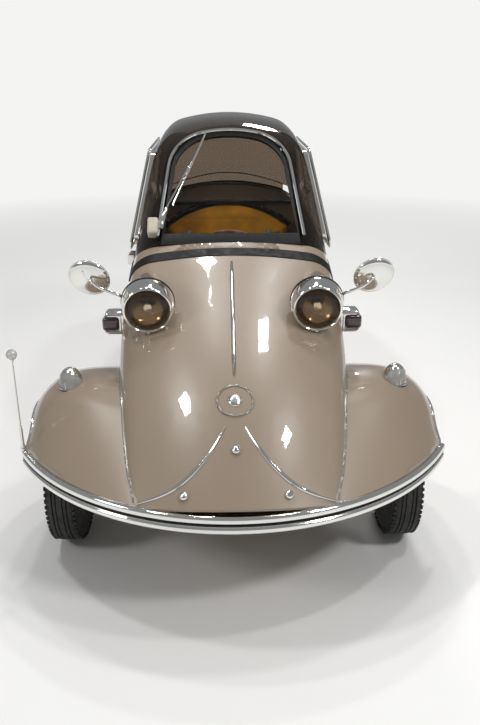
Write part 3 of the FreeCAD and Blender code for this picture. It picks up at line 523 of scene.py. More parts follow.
def landed(tree, start, direction):
    """Where a ray meets the surface, and the outward normal there."""
    place, normal, _, _ = tree.ray_cast(Vector(start), Vector(direction).normalized())
    if place is None:
        raise RuntimeError("no surface under %s" % (tuple(start),))
    if normal.dot(Vector(direction)) > 0:
        normal = -normal
    return place, normal


def smooth_copy(node, name, finish, body, angle=28, inside=None):
    """Merged copy of a CAD node with soft shading; faces toward the cabin may take another finish."""
    bm = from_cad(node)
    if inside:
        for face in bm.faces:
            spot = face.calc_center_median()
            inward = Vector((-spot.x, (0.03 - spot.y) * 0.5, 0.2))
            face.material_index = 1 if face.normal.dot(inward.normalized()) > 0.35 else 0
    made = piece(name, bm, finish, body, (node,), angle)
    if inside:
        made.data.materials.append(FINISHES[inside].material)
    made.modifiers.new("soft", "WEIGHTED_NORMAL").keep_sharp = True


# Body

def make_panels():
    """Painted body panels with smooth, glossy surfaces."""
    for node in ("nose_panel", "tub", "wing_left", "wing_right", "engine_cover", "headlamp_fairings"):
        body = "engine_cover" if node == "engine_cover" else "body"
        smooth_copy(node, node + "_painted", "body_paint", body)
    smooth_copy("canopy_frame", "canopy_frame_painted", "body_paint", "canopy", inside="black_leather")


def make_finish_nodes():
    """Give each CAD node that still shows a finish."""
    for finish, names in (
            ("chrome_plate", ("canopy_hinges", "side_window_frames")),
            ("seal_rubber", ("cockpit_seal", "windscreen_frame")),
            ("smoked_dome", ("dome",)),
            ("screen_glass", ("windscreen_glass", "side_windows")),
            ("chassis_paint", ("front_axle", "rear_frame", "rear_fork", "steering_column")),
            ("bare_steel", ("knuckle_left", "knuckle_right", "track_rod", "front_seat_frame")),
            ("cast_alloy", ("engine_block",)),
            ("exhaust_steel", ("silencer",)),
            ("black_moulding", ("dash_panel", "instrument_pod", "gear_lever", "pedals", "steering_bar")),
            ("black_leather", ("rear_shelf",))):
        for name in names:
            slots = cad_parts[name].data.materials
            slots.clear()
            slots.append(FINISHES[finish].material)


# Trim on the front

def bead_lens(half, crest):
    """Low rounded section of a bright strip."""
    return [(half * a, crest * b) for a, b in ((-1, 0), (-0.95, 0.42), (-0.46, 0.86), (0, 1), (0.46, 0.86),
                                              (0.95, 0.42), (1, 0))]


def make_seams(trim):
    """Pale bead in each seam between wing and nose."""
    wing = target("wing_left")
    nose = target("nose_panel")
    places = []
    for step in range(24):
        y = -1.372 + step * 0.0355
        for reach in range(60):
            x = 0.258 + reach * 0.002
            low = under(wing, x, y)
            high = under(nose, x, y)
            if low and (high is None or low.z > high.z):
                places.append(Vector((x, y, low.z)))
                break
    tube("wing_seam_beads", "worn_chrome", places, trim.bead, mirrored=True)


def make_band():
    """Two bright rails round the front, a rubber strip in their groove, and a lip that meets the nose."""
    rails = ((679, 318.5), (688, 318.5), (691, 319.5), (692.6, 322), (693, 326), (692.6, 331), (691, 334.2),
             (688.4, 335.4), (687.6, 337), (687.6, 345), (688.4, 346.6), (690.8, 347.8), (692.4, 350.5),
             (692.8, 355), (692.2, 360), (690, 364), (686, 366), (679, 366))
    insert = ((687, 337.6), (689.2, 338.4), (690, 341), (689.2, 343.8), (687, 344.4))
    lip = ((640, 340), (676, 352), (680.5, 358), (680.5, 361), (676, 361), (640, 348))
    for name, finish, profile, degrees, steps, stands_for in (
            ("rails", "chrome_plate", rails, 123.2, 110, ("front_band",)),
            ("insert", "seal_rubber", insert, 123.2, 110, ()), ("lip", "body_paint", lip, 48, 48, ())):
        bm = bmesh.new()
        spun(bm, profile, moved(0, -717, 0) @ rolled(-90 - degrees / 2), steps, True, math.radians(degrees))
        piece("front_band_" + name, bm, finish, stands_for=stands_for, smooth=50)


def make_arches(trim):
    """Bright lip that follows each wheel arch from the band's end over the wheel."""
    wing = target("wing_left")
    radius = 0.189
    places = []
    for step in range(37):
        turn = math.radians(-12 + step * 5.2)
        start = Vector((0.8, -0.900 - radius * math.cos(turn), 0.254 + radius * math.sin(turn)))
        place = wing.ray_cast(start, -X)[0]
        if place and place.x > 0.5:
            places.append(place)
    tube("arch_lips", "chrome_plate", places, trim.lip, mirrored=True)


def make_nose_trim(trim):
    """Centre strip, curved side strips, plain ring with a smooth boss, and three round studs."""
    nose = target("nose_panel")
    lens = bead_lens(trim.strip, trim.crest)
    sunk = 0.001
    stations = []
    for step in range(27):
        place, normal = landed(nose, (0.0003, -1.069 + step * 0.01527, ABOVE), -Z)
        full = 0.55 + 0.45 * min(1, step / 3, (26 - step) / 3)
        stations.append((place - normal * sunk, X * full, normal))
    centre = bmesh.new()
    swept(centre, lens, stations)
    closed(centre)
    piece("nose_centre_strip", centre, "chrome_plate", smooth=40)
    line = smooth_line([mm(x, y, 0) for x, y in ((26, -1210), (47, -1246), (76, -1281), (107, -1309),
                                                 (140, -1330), (175, -1341), (212, -1344), (255, -1340))], 6)
    stations = []
    last = len(line) - 1
    for index, spot in enumerate(line):
        place, normal = landed(nose, (spot.x, spot.y, ABOVE), -Z)
        ahead = line[min(index + 1, last)] - line[max(index - 1, 0)]
        full = math.sin(math.pi * (0.08 + 0.84 * index / last)) ** 0.5
        across = ahead.cross(normal).normalized() * full
        stations.append((place - normal * sunk, across, normal * (0.4 + 0.6 * full)))
    side = bmesh.new()
    swept(side, lens, stations)
    closed(side)
    both_sides(side)
    piece("nose_side_strips", side, "chrome_plate", smooth=40)
    place, normal = landed(nose, mm(0.3, -1142, 1200), -Z)
    badge = aimed(place, normal)
    outer = trim.ring * 1000
    rim = ((outer - 4.5, -2), (outer - 0.5, -2), (outer, 3), (outer - 1.4, 5.6), (outer - 3.4, 5.6),
           (outer - 5, 3))
    boss = ((POLE, 1.5), (POLE, 9), (8, 8.6), (15, 6.8), (19, 4), (20, 1), (20, -1), (POLE, -1))
    field = ((POLE, 0.2), (POLE, 1.6), (outer - 5, 1.0), (outer - 4.5, -1.2))
    turned("nose_ring", "worn_chrome", ((rim, 72, True), (boss, 48, True)), badge, smooth=40)
    turned("nose_ring_field", "body_paint", ((field, 64, True),), badge)
    studs = bmesh.new()
    wide = trim.stud * 1000
    stud = ((POLE, -2), (wide - 1.8, -2), (wide - 0.2, 1), (wide, 3.5), (wide - 1.2, 7.5), (wide - 4.2, 10.6),
            (wide - 8.2, 12.2), (POLE, 12.8))
    for x, y in ((0.3, -1267), (130, -1356), (-130, -1356)):
        spun(studs, stud, aimed(*landed(nose, mm(x, y, 1200), -Z)), 32)
    piece("nose_studs", studs, "chrome_plate", smooth=50)


# Lamps and mirrors

def make_headlamps():
    """Deep bright bezels with a brow over the lens, ribbed lenses, reflectors and bulbs."""
    places = [aimed(mm(side * 244, -900, 733), Vector((side * -0.06, -1, -0.12))) for side in (1, -1)]
    screw = ((POLE, -3), (4.6, -3), (4.6, 2), (3.2, 3.4), (POLE, 3.6))
    for kind, finish, replaced, steps, profile in (
            ("bezel", "chrome_plate", ("headlamp_shells",), 96,
             ((75, -52), (77, -49), (77.4, -42), (76.6, -26), (74.6, -10), (71.6, 1), (70.6, 6), (68.4, 9),
              (65.4, 9.6), (63.4, 7.6), (62.6, 4), (61.4, 0), (61.4, -6), (66, -10), (70, -30), (71, -50))),
            # The bowl's finish has a painted dark reflection in its colour
            ("bowl", "reflector_painted_reflection", (), 64,
             ((61, 0), (56, -12), (46, -24), (32, -33), (16, -38), (POLE, -39.5), (POLE, -41.5), (16, -40),
              (33, -35), (48, -26), (58, -13), (62.2, 0))),
            ("glass", "lamp_glass", ("headlamp_lenses",), 72,
             ((62, 1.5), (56, 5.5), (44, 9.5), (28, 12.4), (12, 13.8), (POLE, 14), (POLE, 10.5), (12, 10.2),
              (28, 8.8), (44, 6), (56, 2), (60.5, -1))),
            ("bulb", "lamp_bulb", (), 0, ()),
            ("fixings", "worn_chrome", (), 32,
             ((13, -18), (14, -17), (14, -11), (11, -8), (POLE, -6), (POLE, -7), (10, -9), (13, -12))),
            ("gasket", "seal_rubber", (), 72, ((73, -55), (77.5, -55), (79, -52.5), (77.5, -50), (73, -50)))):
        bm = bmesh.new()
        for place in places:
            if kind == "bulb":
                ball(bm, place @ moved(0, 0, -20), (9, 9, 14), 20)
                continue
            if kind == "fixings":
                spun(bm, screw, place @ moved(0, -72, 2) @ rolled(52, "X"), 20)
            spun(bm, profile, place, steps, True)
        piece("headlamp_" + kind, bm, finish, stands_for=replaced, smooth=45)


def cut(bm, place, normal, clear=True):
    """Cut a mesh by a plane, and clear what lies before it; gives what lies on the plane."""
    return bmesh.ops.bisect_plane(bm, geom=everything(bm), plane_co=place, plane_no=normal,
                                  clear_outer=clear)["geom_cut"]


def oval(across, along, height, count):
    """Points of an ellipse round local Z, with its radii and height in millimetres."""
    turns = [math.tau * step / count for step in range(count)]
    return [mm(across * math.cos(turn), along * math.sin(turn), height) for turn in turns]


def make_wing_lamps():
    """Hooded marker lamp on each wing: bright hood, clear lens with a rib, base ring and gasket."""
    spot, normal = landed(target("wing_left"), mm(470, -945, 900), -Z)
    turn = facing(aimed(spot, (normal + Z * 1.5).normalized()), mm(60, -200, 0).normalized())
    hood = bmesh.new()
    ball(hood, Matrix(), (38, 34, 46), 48)
    cut(hood, (0, 0, -0.012), -Z)
    lens = hood.copy()
    slant = Vector((0.78, 0, -0.42)).normalized()
    for part, direction in ((hood, slant), (lens, -slant)):
        cut(part, (0.004, 0, 0.013), direction)
        bmesh.ops.holes_fill(part, edges=part.edges[:], sides=0)
        closed(part)
    bmesh.ops.scale(lens, vec=(0.965, 0.965, 0.965), verts=lens.verts)
    sharp = math.radians(50)
    bevelled(hood, [e for e in hood.edges if e.is_manifold and e.calc_face_angle(0) > sharp], 0.0012, 2)
    trim = bmesh.new()
    turns = [math.radians(-12 + 7 * step) for step in range(8)]
    tube_bm(trim, [Vector((0.0369 * math.cos(a), 0, 0.0443 * math.sin(a))) for a in turns], 0.0011, 8)
    foot = oval(38.5, 34.5, -8, 32)
    tube_bm(trim, foot, 0.0024, 12, True)
    gasket = bmesh.new()
    tube_bm(gasket, [point - Z * 0.004 for point in foot], 0.0036, 12, True)
    for name, part, finish, replaced in (
            ("hoods", hood, "chrome_plate", ("wing_lamps",)), ("lenses", lens, "marker_lens", ()),
            ("trim", trim, "chrome_plate", ()), ("gaskets", gasket, "seal_rubber", ())):
        part.transform(turn)
        both_sides(part)
        piece("wing_lamp_" + name, part, finish, stands_for=replaced, smooth=40)


def make_indicators():
    """Side indicators: bright rounded cases with a dark lens that wraps round the front."""
    root, _ = landed(target("nose_panel"), mm(700, -772, 660), -X)
    inner = root.x * 1000
    cases, lenses, rims, screws = (bmesh.new() for _ in range(4))
    block(cases, mm(inner - 8, -796, 619), mm(386, -746, 692), 0.011)
    block(lenses, mm(inner + 12, -806, 634), mm(393, -764, 678), 0.0105)
    corners = ((386, 683), (inner + 8, 683), (inner + 8, 629), (386, 629))
    tube_bm(rims, rounded_path([mm(x, -797, z) for x, z in corners], 0.011), 0.0028, 12, True)
    spun(screws, ((POLE, -1), (3.4, -1), (3.4, 1), (2.4, 2), (POLE, 2.2)),
         aimed(mm(inner + 5, -797, 655), -Y), 16)
    for name, part, finish, replaced in (
            ("cases", cases, "chrome_plate", ("indicators",)), ("lenses", lenses, "dark_lens", ()),
            ("rims", rims, "chrome_plate", ()), ("screws", screws, "worn_chrome", ())):
        both_sides(part)
        piece("indicator_" + name, part, finish, stands_for=replaced, smooth=40)


def make_mirrors():
    """Round bright dishes with glass at the back, on curled stalks from beaded feet."""
    foot = aimed(mm(319, -826, 740), X)
    face = aimed(mm(421, -795, 801), Vector((0.12, -0.92, -0.37)))
    hub = face @ mm(0, 0, 12)
    stalk, dish, rim, glass = parts = [bmesh.new() for _ in range(4)]
    bends = ((318, -832, 748), (326, -838, 758), (352, -842, 768), (388, -838, 782), (406, -832, 797),
             (415, -824, 806))
    tube_bm(stalk, [mm(*spot) for spot in bends] + [hub], 0.0046, 16)
    spun(stalk, ((POLE, -6), (17, -6), (17, 0), (14, 3), (9, 5), (7, 8), (POLE, 9)), foot, 32)
    for place in around(foot, 17.5, 18):
        ball(stalk, place, (2.6, 2.6, 2.6), 8)
    ball(stalk, aimed(hub, Z), (7, 7, 7), 16)
    ball(stalk, aimed(mm(320, -833, 750), Z), (7.5, 7.5, 7.5), 16)
    spun(dish, ((60, 0), (60.4, 2), (59, 5), (52, 10), (40, 14.4), (24, 17.6), (10, 18.8), (POLE, 19),
                (POLE, 16.5), (24, 15), (40, 12), (52, 7.4), (57, 3), (57.4, 1)), face, 80, True)
    spun(glass, ((POLE, 1.5), (57.4, 1.5), (57.6, 2.6), (POLE, 3.4)), face, 64, True)
    tube_bm(rim, [face @ spot for spot in oval(60.4, 60.4, 1.8, 40)], 0.0022, 12, True)
    for side, name in ((1, "left"), (-1, "right")):
        for kind, part, finish, replaced in (
                ("stalk", stalk, "chrome_plate", ()), ("dish", dish, "chrome_plate", ("mirror_" + name,)),
                ("rim", rim, "chrome_plate", ()), ("glass", glass, "mirror_glass", ())):
            made = part.copy()
            if side < 0:
                bmesh.ops.scale(made, vec=(-1, 1, 1), verts=made.verts)
                bmesh.ops.recalc_face_normals(made, faces=made.faces)
            piece("mirror_%s_%s" % (kind, name), made, finish, stands_for=replaced, smooth=45)
    for part in parts:
        part.free()


def make_marker_rod():
    """Bright sleeve, slim dark mast and a clear ball, clamped at the right end of the front band."""
    low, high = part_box("marker_rod")
    foot = Matrix.Translation(Vector((high.x - 0.015, (low.y + high.y) / 2, low.z)))
    sleeve = ((POLE, 0), (9, 0), (9.4, 2), (8.4, 6), (6, 14), (5.4, 20), (5, 22), (5, 62), (4.4, 66),
              (3.4, 70), (3, 78), (POLE, 78))
    collar = ((POLE, 272), (3.6, 272), (4.8, 275), (4.8, 279), (3, 281), (POLE, 281))
    mast = ((POLE, 76), (2.4, 76), (2.1, 274), (POLE, 274))
    turned("marker_rod_sleeve", "chrome_plate", ((sleeve, 24, False), (collar, 24, False)), foot, smooth=40)
    turned("marker_rod_mast", "worn_chrome", ((mast, 16, False),), foot, stands_for=("marker_rod",))
    knob = bmesh.new()
    ball(knob, foot @ moved(0, 0, 291), (15, 15, 15), 32)
    piece("marker_rod_ball", knob, "marker_lens", smooth=60)


# Canopy

SCREEN_SLOPE = math.radians(49)
SCREEN_FOOT = mm(0, -575, 865)
SCREEN_UP = Vector((0, math.cos(SCREEN_SLOPE), math.sin(SCREEN_SLOPE)))
SCREEN_OUT = Vector((0, -math.sin(SCREEN_SLOPE), math.cos(SCREEN_SLOPE)))
# A side window leans in by this share of its height over the sill
WINDOW_LEAN = 0.21
WINDOW_SILL = 790


def on_screen(across, along, out=0):
    """A point on the screen's plane from millimetres across, up along it and out of it."""
    return SCREEN_FOOT + (X * across + SCREEN_UP * along + SCREEN_OUT * out) / 1000


def on_window(y, z, out):
    """A point on the left side window's plane, in millimetres."""
    return mm(332 - WINDOW_LEAN * (z - WINDOW_SILL) + out, y, z)


def screen_line(wider, out):
    """Line up one side of the screen, over its top and down the other, wider than the glass."""
    shoulder = (102 + wider * 0.3, 387 + wider)
    corner = arc_through((198 + wider, 262), (168 + wider * 0.75, 340 + wider * 0.6), shoulder, 8)
    crest = arc_through(shoulder, (0, 401 + wider), (-shoulder[0], shoulder[1]), 10)
    right = [(231 + wider - (33 * k / 6), 4 + 258 * k / 6) for k in range(6)]
    outline = right + corner + crest[1:-1] + [(-x, y) for x, y in (right + corner)[::-1]]
    return [on_screen(x, y, out) for x, y in outline]


def make_screen_trim():
    """Soft rubber frame with a thin bright bead that stands round the windscreen."""
    smooth_copy("windscreen_frame", "screen_rubber", "seal_rubber", "canopy", 40)
    tube("screen_bead", "chrome_plate", screen_line(4, 6), 0.0052, body="canopy")


def make_wiper():
    """Cream motor case, bright pivot, slim arm with a hinge, and a blade with its rubber."""
    foot, elbow, middle, heel, tip = [on_screen(*place) for place in (
        (-223, 41, 2), (-208, 99, 12), (-135, 258, 10), (-186, 117, 7), (-80, 388, 7))]
    turn = Matrix((X, SCREEN_UP, SCREEN_OUT)).transposed().to_4x4()
    motor = bmesh.new()
    block(motor, mm(0, 0, 0), mm(34, 58, 40), 0.007, Matrix.Translation(on_screen(-266, 8, -16)) @ turn, 4)
    piece("wiper_motor", motor, "motor_case", "canopy", ("wiper",))
    arm = bmesh.new()
    spun(arm, ((POLE, 0), (9, 0), (9, 6), (7.4, 8), (6.4, 13), (5, 15), (POLE, 15.4)),
         aimed(foot, SCREEN_OUT), 24)
    along = (elbow - foot).normalized()
    broad = along.cross(SCREEN_OUT).normalized()
    swept(arm, bead_lens(0.008, 0.007), [(foot + SCREEN_OUT * 0.006 - along * 0.010, broad, SCREEN_OUT),
                                         (foot + SCREEN_OUT * 0.007 + along * 0.020, broad, SCREEN_OUT),
                                         (elbow - SCREEN_OUT * 0.002, broad * 0.6, SCREEN_OUT * 0.8)])
    tube_bm(arm, [elbow, elbow.lerp(middle, 0.5) + SCREEN_OUT * 0.003, middle], 0.0026, 10)
    ball(arm, aimed(elbow, SCREEN_UP), (5.5, 5.5, 8), 16)
    ball(arm, aimed(middle, SCREEN_UP), (4.5, 4.5, 7), 16)
    across = Vector((0.93, -0.24, -0.27))
    swept(arm, bead_lens(0.0032, 0.003), [(end, across, SCREEN_OUT) for end in (heel, tip)])
    closed(arm)
    piece("wiper_arm", arm, "chrome_plate", "canopy", smooth=40)
    tube("wiper_blade_rubber", "seal_rubber", [end - SCREEN_OUT * 0.0015 for end in (heel, tip)], 0.0022, 8,
         body="canopy")


def window_line(inset, out):
    """Closed line round a side window, inside its opening by an inset, out from its leaning plane."""
    corners = ((-486 + inset * 1.5, 812 + inset), (-300 + inset * 0.9, 1100 - inset),
               (170 - inset * 0.4, 1092 - inset), (395 - inset * 1.4, 812 + inset))
    return rounded_path([on_window(y, z, out) for y, z in corners], 0.034 - inset * 0.0006)


def make_side_windows():
    """Double bright rails round the side openings, the sliding panes' posts and finger knobs."""
    rails = bmesh.new()
    tube_bm(rails, window_line(-9, 7), 0.0046, 12, True)
    tube_bm(rails, window_line(6, 5), 0.0030, 12, True)
    both_sides(rails)
    piece("side_window_rails", rails, "chrome_plate", "canopy")
    post = [on_window(-45.5, z, 1) for z in (826, 900, 980, 1084)]
    tube("side_window_posts", "chrome_plate", post, 0.0032, body="canopy", mirrored=True)
    knobs = bmesh.new()
    for y in (-90, 10):
        spun(knobs, ((POLE, -2), (9, -2), (9, 0), (6, 2), (6.5, 6), (5, 8), (POLE, 8.6)),
             aimed(on_window(y, 930, 0.5), X + Z * WINDOW_LEAN), 24)
    both_sides(knobs)
    piece("side_window_knobs", knobs, "black_moulding", "canopy")


def make_dome_skirt():
    """Smoked skirt and rubber bead that carry the dome down to its frame at the rear."""
    dome = target("dome")
    canopy = target("canopy_frame")
    top = 1.3
    upper = []
    lower = []
    for step in range(41):
        x = (step / 40 * 2 - 1) * 0.262
        edge = next(filter(None, (under(dome, x, 0.6585 - back * 0.001, top) for back in range(90))), None)
        if edge is None:
            continue
        foot = under(canopy, x, edge.y + 0.006, top)
        if foot is None or foot.z > edge.z - 0.002:
            foot = edge + Vector((0, 0.003, -0.003))
        upper.append(edge + Vector((0, 0.0005, 0)))
        lower.append(Vector((x, max(foot.y, edge.y + 0.006), foot.z + 0.0005)))
    bm = bmesh.new()
    rows = []
    for share in (0, 0.25, 0.5, 0.75, 1):
        bulge = Vector((0, 0.004 * math.sin(math.pi * share), 0))
        row = [bm.verts.new(high.lerp(low, share) + bulge) for high, low in zip(upper, lower)]
        rows.append([bm.edges.new(pair) for pair in zip(row, row[1:])])
    for one, two in zip(rows, rows[1:]):
        bmesh.ops.bridge_loops(bm, edges=one + two)
    bmesh.ops.recalc_face_normals(bm, faces=bm.faces)
    bmesh.ops.solidify(bm, geom=bm.faces[:], thickness=-0.003)
    closed(bm)
    piece("dome_skirt", bm, "smoked_dome", "canopy", smooth=60)
    tube("dome_foot_bead", "seal_rubber", [spot + Vector((0, 0.002, 0.001)) for spot in lower], 0.005,
         resolution=4, body="canopy")


def make_handle():
    """The lid's handle: a bar on two feet at the canopy's left side."""
    tree = target("canopy_frame")
    handle = bmesh.new()
    normal = landed(tree, mm(900, 60, 775), -X)[1]
    first, last = [landed(tree, mm(900, y, 775), -X)[0] for y in (20, 100)]
    for spot in (first, last):
        spun(handle, ((POLE, -4), (12, -4), (12, 0), (9, 3), (7, 9), (POLE, 10)), aimed(spot, normal), 24)
    tube_bm(handle, [first + normal * 0.006, first + normal * 0.022, last + normal * 0.022 - Y * 0.01,
                     last + normal * 0.022, last + normal * 0.006], 0.0062, 12)
    piece("canopy_handle", handle, "chrome_plate", "canopy", smooth=45)


# Wheels

# Name, centre, side of the outer face, body, and the body that carries it
WHEELS = (("front_left", (505, -900, 205), 1, "wheel_front_left", "knuckle_left"),
          ("front_right", (-505, -900, 205), -1, "wheel_front_right", "knuckle_right"),
          ("rear", (0, 1130, 205), 1, "wheel_rear", "body"))


def wheels_at():
    """Name, place with Z along the axle, body and carrier of each wheel."""
    return [(name, aimed(mm(*centre), X * side), body, carrier)
            for name, centre, side, body, carrier in WHEELS]


def make_tyres(wheels):
    """Ribbed tyres with grooves round the crown and blocks on the shoulders."""
    deep = wheels.groove * 1000
    half = [(104, 41), (111.5, 42.5), (118, 44.5), (135, 47.3), (139, 47.6), (140, 48), (141.5, 48),
            (142.5, 47.7), (150, 48), (165, 47), (178, 44.5), (188, 41.5), (194, 38.5), (198, 35), (201, 31),
            (202.6, 26), (202.9, 22.2), (202.9 - deep, 21.4), (202.9 - deep, 18.8), (203.4, 18), (204, 11),
            (204.1 - deep, 10.4), (204.1 - deep, 8.2), (204.3, 7.6)]
    profile = half + [(radius, -along) for radius, along in half[::-1]] + [(102.5, -36), (102.5, 36)]
    for name, place, wheel, _ in wheels_at():
        bm = bmesh.new()
        spun(bm, profile, place, 96, True)
        for face in (1, -1):
            for index, spot in enumerate(around(place, 196.5, wheels.lugs)):
                reach = 5.4 if index % 2 else 4.2
                block(bm, mm(-4, -reach, -8), mm(2.6, reach, 6.5), 0,
                      spot @ moved(0, 0, 35.5 * face) @ rolled(38 * face, "Y"))
        piece("tyre_tread_" + name, bm, "tyre_rubber", wheel, ("tyre_" + name,), 38)


def make_rims(wheels):
    """Pressed steel rims with their nuts and valves."""
    flange = ((112, -44.8), (110.5, -43), (104, -42.4), (102.5, -40), (100.5, -30))
    disc = ((111, 46.2), (108, 46), (99.5, 44), (97.8, 40), (96.5, 31), (88, 26), (86, 18), (86, 3),
            (80, 4), (72, 9), (62, 10), (52, 6), (40, 4), (31, 4), (30, 20), (13, 20), (13, -35), (30, -35),
            (30, -9), (40, -5), (52, -3), (62, 0.5), (72, 0), (80, -5), (86, -6), (86, -20), (88, -27),
            (96.5, -31), (97.8, -40), (99.5, -44), (108, -46))
    well = ((92, -26), (90, -20), (90, 16), (93, 24))
    loop = ((111, -46.2), *flange, *well, *[(radius, -along) for radius, along in flange[::-1]], *disc)
    valve = ((POLE, -5), (2.6, -5), (2.6, 24), (1.8, 26), (POLE, 26))
    for name, place, wheel, _ in wheels_at():
        turned("rim_pressed_" + name, "wheel_paint", ((loop, 72, True),), place, wheel, ("rim_" + name,), 40)
        nuts = bmesh.new()
        bolts(nuts, around(place, 46, wheels.nuts, 5), 7, 6)
        spun(nuts, valve, place @ moved(99, 0, 34) @ rolled(-35, "Y") @ moved(0, 0, -8), 16)
        piece("rim_nuts_" + name, nuts, "bare_steel", wheel, smooth=40)


def make_hub_caps():
    """Plain domed caps with a stepped centre on the front wheels, and a hub nut behind."""
    cap = ((62.5, 10.4), (63, 12), (61, 14.5), (56, 17.5), (50, 19.5), (40, 22), (34, 22.6), (33, 23.6),
           (30, 25), (24, 27.4), (16, 29.4), (8, 30.6), (POLE, 31), (POLE, 29.5), (60, 11))
    hub = ((POLE, 18), (24, 18), (27, 20), (27, 24), (22, 28), (12, 30), (POLE, 30.5))
    *front, rear = wheels_at()
    for name, place, wheel, _ in front:
        turned("hub_cap_bright_" + name, "chrome_plate", ((cap, 72, True),), place, wheel,
               ("hub_cap_" + name,), 40)
    turned("hub_cover_rear", "bare_steel", ((hub, 40, False),), rear[1], "wheel_rear", smooth=40)


def make_brakes():
    """Finned drums that turn with the wheels and back plates that stay behind them."""
    drum = ((31, -12), (76, -11), (83, -13.5), (84, -15), (84, -17), (82.4, -18), (84, -19), (84, -22),
            (82.4, -23), (84, -24), (84, -27), (82.4, -28), (84, -29), (84, -33), (80, -33.6), (80, -16),
            (31, -15))
    cover = ((14, -40), (74, -40), (78, -37.6), (83, -37), (83, -35.5), (76, -35.4), (14, -36.4))
    for name, place, wheel, carrier in wheels_at():
        turned("brake_drum_" + name, "cast_alloy", ((drum, 64, True),), place, wheel, smooth=35)
        plate = bmesh.new()
        spun(plate, cover, place, 64, True)
        bolts(plate, [spot @ rolled(180, "X") for spot in around(place, 58, 4, -40)], 5, 4)
        piece("brake_plate_" + name, plate, "chassis_paint", carrier, smooth=35)


# Cabin

# Pads: node, leather, share of its width, depth and height to start from, and how far a point may move
PADS = (
    ("front_seat_cushion", "maroon_leather", (0.965, 0.965, 0.85), 0.012),
    ("front_seat_back", "maroon_leather", (0.97, 0.90, 0.985), 0.012),
    ("rear_seat_cushion", "maroon_leather", (0.965, 0.965, 0.85), 0.012),
    ("rear_seat_back", "amber_leather", (0.99, 0.90, 0.985), 0.011),
)


def leaning(degrees):
    """Forward normal of a seat back that leans backward."""
    turn = math.radians(degrees)
    return Vector((0, -math.cos(turn), math.sin(turn)))


FRONT_FACE = leaning(11.5)
REAR_FACE = leaning(6)


def swollen(made, seats, cap):
    """Blow a pad up with the cloth solver, and hold every point within its cap."""
    start = [vert.co.copy() for vert in made.data.vertices]
    cloth = made.modifiers.new("filling", "CLOTH")
    cloth.settings.use_pressure = True
    cloth.settings.uniform_pressure_force = seats.pressure
    cloth.settings.effector_weights.gravity = 0
    cloth.settings.quality = 4
    scene = bpy.context.scene
    for number in range(1, 21):
        scene.frame_set(number)
    evaluated = made.evaluated_get(bpy.context.evaluated_depsgraph_get())
    blown = [vert.co.copy() for vert in evaluated.data.vertices]
    made.modifiers.remove(cloth)
    scene.frame_set(1)
    for vert, before, after in zip(made.data.vertices, start, blown):
        step = after - before
        far = step.length
        vert.co = before + step * (cap / far) if far > cap else after
    made.data.update()


def upholstered(node, leather, shares, seats, cap):
    """A pad from its CAD solid: a voxel mesh, swelled, smoothed, and as wide and high as the solid."""
    bm = from_cad(node)
    low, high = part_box(node)
    middle = (low + high) / 2
    bmesh.ops.translate(bm, vec=-middle, verts=bm.verts)
    bmesh.ops.scale(bm, vec=shares, verts=bm.verts)
    bmesh.ops.translate(bm, vec=middle, verts=bm.verts)
    made = piece(node + "_pad", bm, leather, "body", (node,), 180)
    remesh = made.modifiers.new("voxels", "REMESH")
    remesh.mode = "VOXEL"
    remesh.voxel_size = seats.voxel
    remesh.use_smooth_shade = True
    graph = bpy.context.evaluated_depsgraph_get()
    mesh = bpy.data.meshes.new_from_object(made.evaluated_get(graph))
    made.modifiers.remove(remesh)
    made.data = mesh
    mesh.materials.clear()
    mesh.materials.append(FINISHES[leather].material)
    swollen(made, seats, cap)
    soften = bmesh.new()
    soften.from_mesh(made.data)
    for _ in range(3):
        bmesh.ops.smooth_vert(soften, verts=soften.verts, factor=0.5, use_axis_x=True, use_axis_y=True,
                              use_axis_z=True)
    for axis in (0, 2):
        least = min(vert.co[axis] for vert in soften.verts)
        most = max(vert.co[axis] for vert in soften.verts)
        for vert in soften.verts:
            vert.co[axis] = low[axis] + (vert.co[axis] - least) / (most - least) * (high[axis] - low[axis])
    soften.normal_update()
    return made, soften


def channels(bm, axis, face, spacing, depth, width, first, ends=(-math.inf, math.inf)):
    """Press sewn channels into the side that faces a way, at even places along an axis."""
    for vert in bm.verts:
        near = abs((vert.co[axis] - first + spacing / 2) % spacing - spacing / 2)
        if near < width and ends[0] < vert.co.y < ends[1] and vert.normal.dot(face) > 0.35:
            vert.co -= vert.normal * depth * math.cos(near / width * math.pi / 2) ** 2


def make_seats(seats):
    """Maroon seat and cushions, an amber back behind them, sewn channels and cream piping."""
    for node, leather, shares, cap in PADS:
        made, soften = upholstered(node, leather, shares, seats, min(cap, seats.swell))
        if node == "rear_seat_back":
            channels(soften, 2, -Y, 0.085, 0.0022, 0.007, 0.43)
        elif node.endswith("cushion"):
            low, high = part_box(node)
            channels(soften, 0, Z, 0.080, 0.0035, 0.010, 0.0, (low.y + 0.05, high.y - 0.05))
        soften.to_mesh(made.data)
        soften.free()
        made.data.shade_smooth()
        finer = made.modifiers.new("finer", "SUBSURF")
        finer.levels = 1
        finer.render_levels = 1
    make_piping(seats)


def rim_line(node, axis, level, spread=1.0):
    """Closed line round a pad where a plane across an axis cuts its CAD solid."""
    bm = from_cad(node)
    places = [item.co.copy() for item in cut(bm, level, axis, False) if isinstance(item, bmesh.types.BMVert)]
    bm.free()
    middle = sum(places, Vector()) / len(places)
    across = axis.orthogonal().normalized()
    upward = axis.cross(across)
    places.sort(key=lambda spot: math.atan2((spot - middle).dot(upward), (spot - middle).dot(across)))
    return [middle + (spot - middle) * spread for spot in places]


